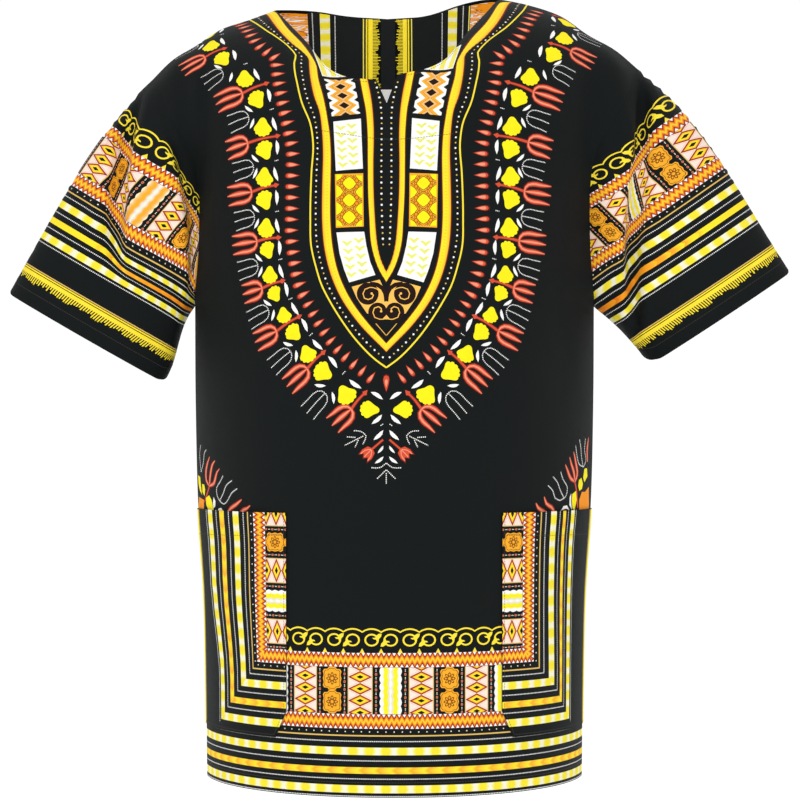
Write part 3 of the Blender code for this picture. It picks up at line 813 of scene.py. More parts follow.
def weave_group():
    """Fine plain weave, faint mottling and soft rumples, shared by every dye."""
    group = bpy.data.node_groups.new("woven_cotton", "ShaderNodeTree")
    group.interface.new_socket("Colour", in_out="INPUT", socket_type="NodeSocketColor")
    for name, kind in (("Colour", "NodeSocketColor"), ("Roughness", "NodeSocketFloat"), ("Normal", "NodeSocketVector")):
        group.interface.new_socket(name, in_out="OUTPUT", socket_type=kind)
    enter = group.nodes.new("NodeGroupInput")
    leave = group.nodes.new("NodeGroupOutput")
    uv = group.nodes.new("ShaderNodeUVMap")
    uv.uv_map = "cloth"
    split = group.nodes.new("ShaderNodeSeparateXYZ")
    group.links.new(uv.outputs[0], split.inputs[0])

    def noise(scale, detail):
        node = group.nodes.new("ShaderNodeTexNoise")
        node.inputs["Scale"].default_value = scale
        node.inputs["Detail"].default_value = detail
        group.links.new(uv.outputs[0], node.inputs["Vector"])
        return node.outputs[0]

    thread_pitch = 0.0008
    warp, weft = (calc(group, "SINE", calc(group, "MULTIPLY", way, 2 * math.pi / thread_pitch))
                  for way in (split.outputs[0], split.outputs[1]))
    threads = calc(group, "MULTIPLY", warp, weft)
    mottle, fibre, soft = noise(55, 3), noise(900, 2), noise(14, 2)
    light = calc(group, "ADD", calc(group, "MULTIPLY_ADD", mottle, 0.16, 0.92), calc(group, "MULTIPLY", threads, 0.035))
    tint = group.nodes.new("ShaderNodeMix")
    tint.data_type = "RGBA"
    tint.blend_type = "MULTIPLY"
    tint.inputs[0].default_value = 1.0
    grey = group.nodes.new("ShaderNodeCombineColor")
    for socket in grey.inputs:
        group.links.new(light, socket)
    group.links.new(enter.outputs[0], tint.inputs[6])
    group.links.new(grey.outputs[0], tint.inputs[7])
    group.links.new(tint.outputs[2], leave.inputs["Colour"])
    group.links.new(calc(group, "MULTIPLY_ADD", fibre, 0.16, 0.60), leave.inputs["Roughness"])
    rumple = group.nodes.new("ShaderNodeBump")
    rumple.inputs["Strength"].default_value = 0.5
    rumple.inputs["Distance"].default_value = 0.004
    group.links.new(soft, rumple.inputs["Height"])
    fine = group.nodes.new("ShaderNodeBump")
    fine.inputs["Strength"].default_value = 0.35
    fine.inputs["Distance"].default_value = 0.0002
    group.links.new(calc(group, "ADD", threads, fibre), fine.inputs["Height"])
    group.links.new(rumple.outputs[0], fine.inputs["Normal"])
    group.links.new(fine.outputs[0], leave.inputs["Normal"])
    return group


WEAVE = weave_group()


def pattern(tree, name):
    """The colour of a dye from the print coordinates u (along) and v (across)."""
    if name in INK:
        return INK[name]
    mark = tree.nodes.new("ShaderNodeUVMap")
    mark.uv_map = "print"
    split = tree.nodes.new("ShaderNodeSeparateXYZ")
    tree.links.new(mark.outputs[0], split.inputs[0])
    u, v = split.outputs[0], split.outputs[1]

    def of(operation, *values):
        return calc(tree, operation, *values)

    def off_middle(value):
        return of("ABSOLUTE", of("SUBTRACT", value, 0.5))

    def far(one, other):
        return of("SQRT", of("ADD", of("POWER", one, 2.0), of("POWER", other, 2.0)))

    if name == "zigzag":
        level = of("ADD", v, of("MULTIPLY_ADD", off_middle(of("FRACT", u)), 0.62, -0.155))
        return ramp(tree, level, (
            (0.0, "white"), (0.06, "brick"), (0.22, "flame"), (0.35, "golden"), (0.42, "band"), (0.58, "golden"),
            (0.65, "flame"), (0.78, "brick"), (0.94, "white")))
    if name == "checker":
        blob = of("ADD", of("MULTIPLY", off_middle(of("FRACT", u)), 2.0), of("MULTIPLY", off_middle(v), 0.3))
        return ramp(tree, blob, ((0.0, "check"), (0.45, "check"), (0.68, "pale_check"), (0.86, "off_white"),
                                 (1.0, "off_white")), True)
    if name in ("orange_stripe", "flame_stripe"):
        slope = of("FRACT", of("SUBTRACT", u, of("MULTIPLY", off_middle(v), 0.45)))
        if name == "orange_stripe":
            return ramp(tree, slope, ((0.0, "golden"), (0.35, "band"), (0.72, "band_yellow"), (0.86, "band"),
                                      (1.0, "golden")), True)
        slow = of("MULTIPLY_ADD", of("COSINE", of("MULTIPLY", u, 0.27)), -0.36, 0.36)
        return ramp(tree, of("ADD", slow, of("MULTIPLY", slope, 0.28)), (
            (0.0, "band_yellow"), (0.35, "band_yellow"), (0.55, "golden"), (0.85, "orange"), (1.0, "flame")), True)
    if name == "comb":
        cell = tree.nodes.new("ShaderNodeTexWhiteNoise")
        cell.noise_dimensions = "1D"
        tree.links.new(of("FLOOR", u), cell.inputs["W"])
        wave = of("MULTIPLY", of("SINE", of("MULTIPLY", u, 0.42)), 0.08)
        reach = of("ADD", of("MULTIPLY_ADD", cell.outputs[0], 0.26, 0.04), wave)
        tooth = of("MULTIPLY", of("GREATER_THAN", v, reach), of("LESS_THAN", of("FRACT", u), 0.52))
        tint = ramp(tree, v, ((0.0, "olive"), (0.12, "band_yellow"), (0.56, "lemon"), (1.0, "band_yellow")), True)
        line = of("MULTIPLY", of("GREATER_THAN", v, 0.84), of("LESS_THAN", v, 0.90))
        inked = of("MAXIMUM", tooth, of("GREATER_THAN", v, 0.55))
        return mixed(tree, line, mixed(tree, inked, INK["ground"], tint), INK["ground"])
    if name == "lattice":
        side = off_middle(u)
        level = of("ADD", of("MULTIPLY", side, 1.62), of("MULTIPLY", off_middle(of("FRACT", v)), 1.6))
        diamond = ramp(tree, level, (
            (0.0, "ink"), (0.25, "band_yellow"), (0.42, "band"), (0.52, "golden"), (0.60, "brick"), (0.80, "pink"),
            (0.93, "light_coral"), (0.98, "pink")))
        return mixed(tree, of("GREATER_THAN", side, 0.465), diamond, INK["pale_gold"])
    if name == "yoke_lattice":
        level = of("ADD", of("MULTIPLY", off_middle(u), 1.3), of("MULTIPLY", off_middle(of("FRACT", v)), 0.70))
        return ramp(tree, level, ((0.0, "ink"), (0.23, "tan"), (0.37, "brown"), (0.385, "golden"), (0.56, "white"),
                                  (0.83, "ground")))
    if name in ("wavy", "golden_wavy"):
        level = of("ADD", off_middle(u), of("MULTIPLY", of("SINE", of("MULTIPLY", v, 2 * math.pi)), 0.02))
        if name == "golden_wavy":
            return ramp(tree, level, ((0.0, "off_white"), (0.07, "grey"), (0.13, "tan"), (0.17, "golden"),
                                      (0.28, "golden"), (0.37, "tan"), (0.5, "off_white")), True)
        return ramp(tree, level, ((0.0, "white"), (0.07, "grey"), (0.13, "pale_yellow"), (0.17, "yellow"),
                                  (0.29, "yellow"), (0.36, "white"), (0.5, "white")), True)
    if name == "dotted":
        return ramp(tree, of("FRACT", of("DIVIDE", u, 1.9)), ((0.0, "ground"), (0.2, "white"), (0.80, "ground")))
    if name == "beads":
        side = of("ABSOLUTE", of("MULTIPLY", of("SUBTRACT", u, 0.5), 5.2))
        up = of("MULTIPLY", off_middle(of("FRACT", v)), 8.0)
        away = far(side, of("MULTIPLY", up, 0.72))
        small = far(side, of("ABSOLUTE", of("SUBTRACT", up, 3.3)))
        ring = ramp(tree, of("DIVIDE", away, 4.0), ((0.0, "ink"), (0.09, "bead"), (0.27, "ground")))
        return mixed(tree, of("LESS_THAN", small, 0.50), ring, INK["off_white"])
    if name == "yoke_band":
        speck = of("MULTIPLY", of("LESS_THAN", of("FRACT", of("DIVIDE", u, 3.3)), 0.4),
                   of("LESS_THAN", of("ABSOLUTE", of("SUBTRACT", v, 0.55)), 0.09))
        band = ramp(tree, v, (
            (0.0, "red_brown"), (0.09, "red_brown"), (0.11, "golden"), (0.26, "band"), (0.42, "band_yellow"),
            (0.80, "band_yellow"), (0.88, "band"), (0.90, "red_brown"), (1.0, "red_brown")), True)
        return mixed(tree, of("MULTIPLY", speck, 0.30), band, INK["orange"])
    rough = tree.nodes.new("ShaderNodeTexNoise")
    rough.inputs["Scale"].default_value = 1.0
    grow = tree.nodes.new("ShaderNodeMapping")
    grow.inputs["Scale"].default_value = (0.16, 0.75, 1.0)
    tree.links.new(mark.outputs[0], grow.inputs[0])
    tree.links.new(grow.outputs[0], rough.inputs["Vector"])
    return ramp(tree, rough.outputs[0], ((0.0, "orange"), (0.47, srgb(150, 70, 20)), (0.50, "white"), (0.54, "orange"),
                                         (0.60, "golden"), (0.64, "white"), (0.67, "orange")))


DYES = {}


def dye_of(name, painted_glow=0.0):
    """The material of a dye, made when first wanted; a nonzero second argument makes the cloth emit its own colour,
    painted light that brightens parts lying in shade.
    """
    if (name, painted_glow) not in DYES:
        material = bpy.data.materials.new("cotton_" + name)
        material.use_nodes = True
        tree = material.node_tree
        shader = tree.nodes["Principled BSDF"]
        cloth = tree.nodes.new("ShaderNodeGroup")
        cloth.node_tree = WEAVE
        colour = pattern(tree, name)
        if isinstance(colour, tuple):
            cloth.inputs["Colour"].default_value = colour
        else:
            tree.links.new(colour, cloth.inputs["Colour"])
        tree.links.new(cloth.outputs["Colour"], shader.inputs["Base Color"])
        # Painted light: the cloth emits its own colour so that it looks lit where it lies in shade.
        if painted_glow:
            tree.links.new(cloth.outputs["Colour"], shader.inputs["Emission Color"])
            shader.inputs["Emission Strength"].default_value = painted_glow
        tree.links.new(cloth.outputs["Roughness"], shader.inputs["Roughness"])
        tree.links.new(cloth.outputs["Normal"], shader.inputs["Normal"])
        shader.inputs["Metallic"].default_value = 0.0
        shader.inputs["Specular IOR Level"].default_value = 0.14
        shader.inputs["Sheen Weight"].default_value = 0.02
        shader.inputs["Sheen Roughness"].default_value = 0.5
        DYES[(name, painted_glow)] = material
    return DYES[(name, painted_glow)]


def split_edges(shape, longest):
    """A closed outline with no edge longer than a length, so it can bend with the cloth."""
    parts = []
    for a, b in zip(shape, np.roll(shape, -1, axis=0)):
        count = max(1, math.ceil(math.hypot(*(b - a)) / longest))
        parts.extend(a + (b - a) * k / count for k in range(count))
    return np.array(parts)


def sew(name, outline, motifs, spacing, bend, thickness, reverse="ground", turned=False, weld=None, painted_glow=0.0):
    """Cut the flat cloth along its motifs' edges, dye each bit, bend it onto its form and give it a wall."""
    shapes = [(outline, "ground", None)] + list(motifs)
    points, faces, marks = [], [], np.zeros((len(shapes), 2, 3))
    for number, (shape, dye, prints) in enumerate(shapes):
        shape = np.array(shape, dtype=float)
        if prints is not None:
            known = np.column_stack([shape, np.ones(len(shape))])
            marks[number] = np.linalg.lstsq(known, np.array(prints, dtype=float), rcond=None)[0].T
        shape = split_edges(shape, spacing)
        area = np.dot(shape[:, 0], np.roll(shape[:, 1], -1)) - np.dot(shape[:, 1], np.roll(shape[:, 0], -1))
        order = range(len(shape)) if area > 0 else range(len(shape) - 1, -1, -1)
        faces.append([len(points) + i for i in order])
        points.extend(map(tuple, shape))
    box_low, box_high = np.min(outline, axis=0), np.max(outline, axis=0)
    columns = np.arange(box_low[0] + 0.5 * spacing, box_high[0], spacing)
    rows = np.arange(box_low[1] + 0.5 * spacing, box_high[1], spacing)
    for i, y in enumerate(rows):
        points.extend((x + (0.25 if i % 2 else -0.25) * spacing, y) for x in columns)
    flat, _, bits, _, _, owners = delaunay_2d_cdt([Vector(p) for p in points], [], faces, 1, 0.02, True)
    kept = [(bit, max(owner)) for bit, owner in zip(bits, owners) if 0 in owner]
    bits = np.array([bit for bit, _ in kept])
    owner = np.array([number for _, number in kept])
    used, bits = np.unique(bits, return_inverse=True)
    bits = bits.reshape(-1, 3)
    flat = np.array([tuple(flat[i]) for i in used])
    place, way = bend(flat)
    bonds = bits.copy()
    if weld is not None:
        edge = np.flatnonzero(weld(flat))
        _, first, back = np.unique(np.round(place[edge], 5), axis=0, return_index=True, return_inverse=True)
        same = np.arange(len(flat))
        same[edge] = edge[first[back.reshape(-1)]]
        bonds = same[bits]
        way[edge] = way[same[edge]]
    count = len(flat)
    if turned:
        bits, bonds = bits[:, ::-1], bonds[:, ::-1]
    ways = {(a, b) for bit in bonds for a, b in ((bit[0], bit[1]), (bit[1], bit[2]), (bit[2], bit[0]))}
    rim = np.array([(a, b) for a, b in ways if (b, a) not in ways])
    slots = ["ground"] + sorted({dye for _, dye, _ in shapes} - {"ground"})
    slot_of = np.array([slots.index(dye) for _, dye, _ in shapes])
    polygons = bonds.tolist() + (bonds[:, ::-1] + count).tolist()
    polygons += [(b, a, a + count, b + count) for a, b in rim.tolist()]
    mesh = bpy.data.meshes.new(name)
    mesh.from_pydata(np.vstack([place, place - way * thickness]).tolist(), [], polygons)
    for slot in slots:
        mesh.materials.append(dye_of(slot, painted_glow))
    plain = np.full(len(bits) + len(rim), slots.index(reverse))
    mesh.polygons.foreach_set("material_index", np.concatenate([slot_of[owner], plain]).astype(np.int32))
    mesh.polygons.foreach_set("use_smooth", np.ones(len(polygons), dtype=bool))
    rim_corners = rim[:, [1, 0, 0, 1]].reshape(-1)
    corner = np.concatenate([bits.reshape(-1), bits[:, ::-1].reshape(-1), rim_corners])
    mesh.uv_layers.new(name="cloth").data.foreach_set("uv", (flat[corner] / 1000).reshape(-1))
    known = np.column_stack([flat, np.ones(count)])[bits.reshape(-1)]
    printed = np.einsum("nij,nj->ni", np.repeat(marks[owner], 3, axis=0), known)
    rest = np.zeros((len(corner) - len(printed), 2))
    mesh.uv_layers.new(name="print").data.foreach_set("uv", np.vstack([printed, rest]).reshape(-1))
    side = np.cross(place[rim[:, 1]] - place[rim[:, 0]], way[rim[:, 0]])
    side *= -1 if turned else 1
    side /= np.maximum(np.linalg.norm(side, axis=1), 1e-9)[:, None]
    normals = np.vstack([way[bits.reshape(-1)], -way[bits[:, ::-1].reshape(-1)], np.repeat(side, 4, axis=0)])
    mesh.update()
    mesh.normals_split_custom_set(normals.tolist())
    mesh.validate()
    piece = bpy.data.objects.new(name, mesh)
    bpy.context.scene.collection.objects.link(piece)
    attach(piece, "root")
    return piece


def outline_of(front):
    """A panel's edge: hem, side, shoulder, neckline and back down, in millimetres of flat cloth."""
    hem = [(s, 0.0) for s in np.linspace(-SEAM_LINE, SEAM_LINE, 91)]
    top = [s for s in np.arange(SEAM_LINE / 1000, -SEAM_LINE / 1000, -0.004)] + [-SEAM_LINE / 1000]
    if front:
        top = [s for s in top if abs(s - NECK_MIDDLE) > SLIT_HALF + 0.001]
        top += [NECK_MIDDLE + k * SLIT_HALF for k in (1, 0.5, 0, -0.5, -1)]
    top = sorted(top + [NECK_MIDDLE - NECK_HALF, NECK_MIDDLE + NECK_HALF], reverse=True)
    edge = [(1000 * s, panel_top(s, front)) for s in top]
    side_top = edge[0][1], edge[-1][1]
    right = [(SEAM_LINE, t) for t in np.arange(6.0, side_top[0] - 3, 6.0)]
    left = [(-SEAM_LINE, t) for t in np.arange(6.0, side_top[1] - 3, 6.0)][::-1]
    return np.array(hem + right + edge + left)


# Parts of the next repeat's ring that come in at the sides, above the pockets: kind, line or outline
SIDE_PRINT = (
    ("patch", ((-266.3, 298.1), (-249.1, 295.7), (-250.1, 280.5), (-273.0, 280.0))),
    ("dotted", ((-255.7, 324.9), (-258.4, 335.4), (-259.3, 344.1), (-255.3, 353.5))),
    ("dotted", ((-255.7, 324.9), (-247.0, 336.8), (-245.2, 344.5), (-239.5, 348.8))),
    ("stem", ((-232.6, 310.8), (-237.6, 304.1), (-247.1, 293.3))),
    ("prong", ((-232.6, 310.8), (-240.4, 316.7), (-241.0, 325.3), (-236.1, 335.1), (-230.9, 341.6))),
    ("prong", ((-232.6, 310.8), (-230.5, 320.5), (-227.8, 328.0), (-225.3, 332.9), (-219.0, 337.7))),
    ("prong", ((-232.6, 310.8), (-221.5, 314.4), (-218.0, 320.7), (-214.7, 326.0), (-210.0, 329.4))),
    ("dotted", ((-208.7, 294.7), (-215.5, 301.0), (-216.1, 309.5), (-210.0, 314.9), (-203.1, 322.7))),
    ("dotted", ((-210.4, 296.0), (-203.6, 303.5), (-197.9, 312.1), (-188.0, 317.5))),
    ("dotted", ((-208.7, 294.7), (-202.0, 292.7), (-194.7, 297.5), (-189.4, 303.9), (-179.6, 309.3))),
    ("prong", ((-198.6, 281.3), (-189.7, 288.9), (-181.4, 292.9), (-172.8, 298.3))),
    ("prong", ((-178.4, 281.2), (-170.6, 287.3), (-164.7, 289.5), (-160.4, 292.5))),
    ("yellow", ((-242.2, 297.9), (-233.9, 301.0), (-228.0, 295.9), (-223.9, 285.8), (-227.7, 282.6), (-237.6, 286.2),
                (-242.7, 291.1))),
    ("yellow", ((-253.4, 312.3), (-247.0, 311.9), (-244.4, 307.2), (-246.5, 299.6), (-252.5, 303.7))),
    ("yellow", ((-267.4, 321.4), (-259.7, 319.6), (-257.1, 308.7), (-254.5, 300.7), (-261.3, 304.5), (-266.4, 311.8))),
    ("white", ((-223.2, 299.4), (-219.4, 295.2), (-219.9, 290.0), (-224.1, 287.4), (-225.1, 292.9))),
    ("white", ((-215.2, 285.2), (-212.9, 287.7), (-207.9, 288.5), (-204.1, 285.6), (-208.1, 284.7))),
    ("patch", ((234.0, 281.0), (232.9, 296.0), (239.4, 304.4), (248.1, 304.0), (260.3, 309.0), (265.4, 279.9))),
    ("prong", ((253.6, 335.7), (252.3, 348.3), (256.0, 362.0))),
    ("dotted", ((242.0, 330.7), (230.4, 334.2), (225.5, 343.4), (222.6, 353.5))),
    ("dotted", ((240.6, 331.6), (236.3, 342.5), (234.7, 350.7), (231.1, 359.6))),
    ("dotted", ((242.0, 330.7), (248.9, 337.1), (244.3, 348.5), (246.6, 361.1))),
    ("stem", ((221.9, 315.5), (225.7, 306.6), (229.7, 287.7))),
    ("prong", ((221.9, 315.5), (212.4, 319.9), (207.3, 326.9), (202.5, 334.1))),
    ("prong", ((221.9, 315.5), (219.4, 325.7), (214.0, 334.3), (210.5, 341.6))),
    ("prong", ((221.9, 315.5), (226.9, 322.6), (223.5, 335.2), (218.5, 347.0))),
    ("dotted", ((193.5, 296.7), (204.2, 300.9), (206.8, 309.6), (198.3, 318.8), (194.3, 326.8))),
    ("dotted", ((200.6, 299.3), (194.2, 306.8), (188.9, 315.8), (181.9, 321.6))),
    ("dotted", ((193.5, 296.7), (185.1, 299.7), (181.8, 307.0), (174.4, 312.6))),
    ("prong", ((187.1, 281.9), (179.7, 290.1), (171.9, 294.2), (168.5, 301.4))),
    ("prong", ((175.9, 281.3), (168.3, 285.9), (160.3, 289.9), (156.8, 295.1))),
    ("yellow", ((217.0, 302.7), (224.6, 305.9), (226.9, 296.2), (222.2, 284.6), (217.7, 288.1), (215.8, 296.8))),
    ("yellow", ((231.1, 316.9), (237.2, 319.3), (241.6, 312.6), (239.2, 307.5), (232.9, 305.5), (229.7, 310.9))),
    ("yellow", ((244.9, 328.5), (252.4, 329.2), (254.7, 320.5), (245.7, 314.4), (242.1, 319.1))),
    ("white", ((211.6, 299.8), (214.9, 303.5), (214.2, 295.5), (216.7, 285.9), (211.3, 291.4))),
    ("white", ((195.5, 286.1), (199.9, 290.6), (206.4, 291.3), (211.5, 286.2), (204.6, 287.9))),
)


def side_motifs(motifs, rows):
    """Draw those parts: filled patches, dotted lines, and coral stems and prongs."""
    for kind, points in rows:
        line = smooth_line(points, 4)
        if kind in ("yellow", "white", "patch"):
            motifs.append((np.array(points), "orange" if kind == "patch" else kind, None))
        elif kind == "dotted":
            stroke(motifs, line, 1.3, "dotted")
        else:
            fat = 1.0 + 3.4 * np.sin(np.linspace(0.35, math.pi, len(line))) ** 0.8
            width = np.full(len(line), 2.2) if kind == "stem" else fat
            for grow, dye in ((1.3, "red_brown"), (0.0, "coral")):
                stroke(motifs, line, width + grow, dye)
            if kind == "prong":
                stroke(motifs, line, 0.42 * width, "light_coral")


# Stitches, in millimetres: how far apart they start, length, width; and how high they stand, in metres
STITCH_PITCH, STITCH_LENGTH, STITCH_WIDTH = 2.9, 2.3, 0.5
STITCH_FOOT, STITCH_LIFT = 0.00003, 0.0002
NECK_STITCH_IN = 3.2
HEM_STITCHES = [(-268, 15.0), (-90, 15.0), (90, 15.0), (268, 15.0)]


def stitched(name, bend, lines):
    """Rows of small raised stitches along lines of a bent cloth."""
    flat = []
    for line in lines:
        line = np.array(line, dtype=float)
        run = run_of(line)
        for start in np.arange(0.4 * STITCH_PITCH, run[-1] - STITCH_LENGTH, STITCH_PITCH):
            a, b = (np.array([np.interp(x, run, line[:, axis]) for axis in (0, 1)])
                    for x in (start, start + STITCH_LENGTH))
            way = (b - a) / STITCH_LENGTH
            left = np.array([-way[1], way[0]]) * STITCH_WIDTH / 2
            near, far = a + 0.2 * way * STITCH_LENGTH, b - 0.2 * way * STITCH_LENGTH
            top = a + 0.25 * way * STITCH_LENGTH, b - 0.25 * way * STITCH_LENGTH
            flat.append((a, near + left, far + left, b, far - left, near - left, *top))
    count = len(flat)
    flat = np.array(flat).reshape(-1, 2)
    place, way = bend(flat)
    raised = np.tile([0, 0, 0, 0, 0, 0, 1, 1], count)[:, None]
    place = place + way * (STITCH_FOOT + STITCH_LIFT * raised)
    one = [(0, 6, 1), (1, 6, 7, 2), (2, 7, 3), (3, 7, 4), (4, 7, 6, 5), (5, 6, 0)]
    faces = [tuple(8 * k + i for i in face) for k in range(count) for face in one]
    if np.dot(np.cross(place[6] - place[0], place[1] - place[0]), way[0]) < 0:
        faces = [face[::-1] for face in faces]
    mesh = bpy.data.meshes.new(name)
    mesh.from_pydata(place.tolist(), [], faces)
    mesh.materials.append(dye_of("thread"))
    mesh.polygons.foreach_set("use_smooth", np.ones(len(faces), dtype=bool))
    corner = np.array([i for face in faces for i in face])
    mesh.uv_layers.new(name="cloth").data.foreach_set("uv", (flat[corner] / 1000).reshape(-1))
    piece = bpy.data.objects.new(name, mesh)
    bpy.context.scene.collection.objects.link(piece)
    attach(piece, "root")


def neck_stitches(front):
    """Points along a panel's neckline, just inside its edge."""
    reach = NECK_HALF - 0.004
    return [(1000 * s, panel_top(s, front) - NECK_STITCH_IN)
            for s in np.linspace(NECK_MIDDLE - reach, NECK_MIDDLE + reach, 60)
            if not front or abs(s - NECK_MIDDLE) > SLIT_HALF + 0.003]


# Height of the border above the hem, and the spacing of the cloth's mesh, in millimetres
HEM_BORDER = 76.7
PANEL_GRAIN = 8.0


front_print = []
border(front_print, lambda u, y: (u, HEM_BORDER + y), lambda y: (-PANEL_EDGE, PANEL_EDGE), -3.5, (-132, 126))
for side in (-1.0, 1.0):
    ring_of_forks(front_print, FORKS, DROPS, side)
    foot_of_ring(front_print, side)
    yoke_half(front_print, side)
for grow, dye in ((1.16, "red_brown"), (1.0, "coral"), (0.5, "light_coral")):
    front_print.append((moved(DROP, 0, 418.6, -math.pi / 2, 1.0, grow), dye, None))
stroke(front_print, ((YOKE_MIDDLE, 328.0), (YOKE_MIDDLE, 317.0)), 1.05, "dotted")
side_motifs(front_print, SIDE_PRINT)
front = sew("front_cloth", outline_of(True), front_print, PANEL_GRAIN, on_front, CLOTH)
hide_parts("front")
neck = neck_stitches(True)
facing_edge = smooth_line(((-76, 677.6), (-40, 674.2), (-7.4, 671.8), (28, 671.6), (61, 673.6)), 8)
stitched("front_stitches", on_front, (
    facing_edge, [p for p in neck if p[0] < YOKE_MIDDLE], [p for p in neck if p[0] > YOKE_MIDDLE], HEM_STITCHES))


# Back panel
# The same black cotton and the same cut as the front, with a higher and flatter neck. The yoke's
# bands and the ring of motifs come over the shoulders and close in a round curve, and the border
# goes right across above the stitched hem.
BACK_FORM = panel_form(False)


def on_back(points):
    """Flat cloth bent onto the back panel."""
    return read_grid(BACK_FORM, points)


def round_neck(width, drop, high):
    """A line from the shoulder round under the back of the neck."""
    turn = np.linspace(0.0, math.pi / 2, 9)
    curve = [(width * math.cos(a), 812 - drop * math.sin(a)) for a in turn]
    return [(high, 868), ((width + high) / 2 - 3, 838)] + curve


back_forks = []
for k in range(6):
    if k < 2:
        split_point = np.array(((201, 846), (190, 800))[k], dtype=float)
        way = np.array((1.0, 0.02))
    else:
        angle = math.radians(-4 + 19.5 * (k - 1))
        split_point = np.array((150 * math.cos(angle), 805 - 236 * math.sin(angle)))
        way = np.array((math.cos(angle) / 150, -math.sin(angle) / 236))
        way /= np.linalg.norm(way)
    back_forks.append((split_point - 28 * way, split_point, split_point + 32 * way))
back_print = []
border(back_print, lambda u, y: (u, HEM_BORDER + y), lambda y: (-PANEL_EDGE, PANEL_EDGE), 56.5,
       (-PANEL_EDGE, PANEL_EDGE))
back_drops = [(158, 850), (140, 815)]
back_drops += [(112 * math.cos(a), 805 - 190 * math.sin(a)) for a in np.linspace(0.15, math.pi / 2, 8)]
for side in (-1.0, 1.0):
    ring_of_forks(back_print, back_forks, back_drops, side)
    thin, outer, inner = (on_side(smooth_line(round_neck(*sizes), 3), side)
                          for sizes in ((94, 172, 150), (80, 156, 134), (70, 142, 118.5)))
    ribbon(back_print, resampled(outer, 90), resampled(inner, 90), "yoke_band")
    stroke(back_print, resampled(thin, 90), 1.7, "pale_yellow")
    dots(back_print, 0.5 * (resampled(thin, 200) + resampled(outer, 200)), 5.6, 0.95, 0.76)
back = sew("back_cloth", outline_of(False), back_print, PANEL_GRAIN, on_back, CLOTH, turned=True)
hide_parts("back")
stitched("back_stitches", on_back, (neck_stitches(False), HEM_STITCHES))


# Sleeves
# Each is one piece of the same cotton, set to the dropped shoulder and sewn into a tube under the
# arm, with a stitched hem. The border print runs round above the cuff, and deep soft folds run from
# the shoulder towards it and hide part of the print.

# Cuffs: side, x and z of the outer end, x and z of the inner end, half depth
SLEEVE_ROWS = {
    "sleeve_left": (-1, 0.4093, -0.2975, 0.2434, -0.3927, 0.040),
    "sleeve_right": (1, 0.4210, -0.2771, 0.2702, -0.3766, 0.040),
}
SEAM_PULL_BACK = 0.0005
SLEEVE_STAND_OFF = 0.0006

# Folds: share round the sleeve, at which height above the cuff, change of share with height; then
# half width in share, print hidden in it, shift of the print along it, change of that with height;
# then the heights between which it fades in
SLEEVE_FOLDS = {
    "sleeve_left": ((0.35, 120, -0.00243, 0.05, 34, 18.0, -0.10, 60, 100),
                    (0.78, 120, -0.0043, 0.07, 20, 24.0, 0.15, 75, 110)),
    "sleeve_right": ((0.51, 135, -0.0036, 0.05, 33, 14.5, 0.06, 15, 75),),
}
FOLD_HALF, FOLD_DEPTH, FOLD_SHOULDER = 0.034, 0.0100, 0.0035
PRINT_SCALE = {"sleeve_left": 0.92, "sleeve_right": 0.95}
SLEEVE_LOW, SLEEVE_PITCH = -12.0, 3.0
SLEEVE_BORDER = 134.5
SLEEVE_PHASE = {"sleeve_left": 107.5, "sleeve_right": 105.5}
SLEEVE_WAVY = {"sleeve_left": "golden_wavy", "sleeve_right": "wavy"}

# Cuff edge: how far it reaches past the form's end, radius of the outer and the inner corner
CUFF_EDGE = {"sleeve_left": (-6.5, 6.0, 8.0), "sleeve_right": (-4.0, 6.0, 15.0)}

# Way in which each sleeve leaves the shoulder point
SLEEVE_START = {"sleeve_left": (-0.74, 0.0, -0.67), "sleeve_right": (0.82, 0.0, -0.57)}


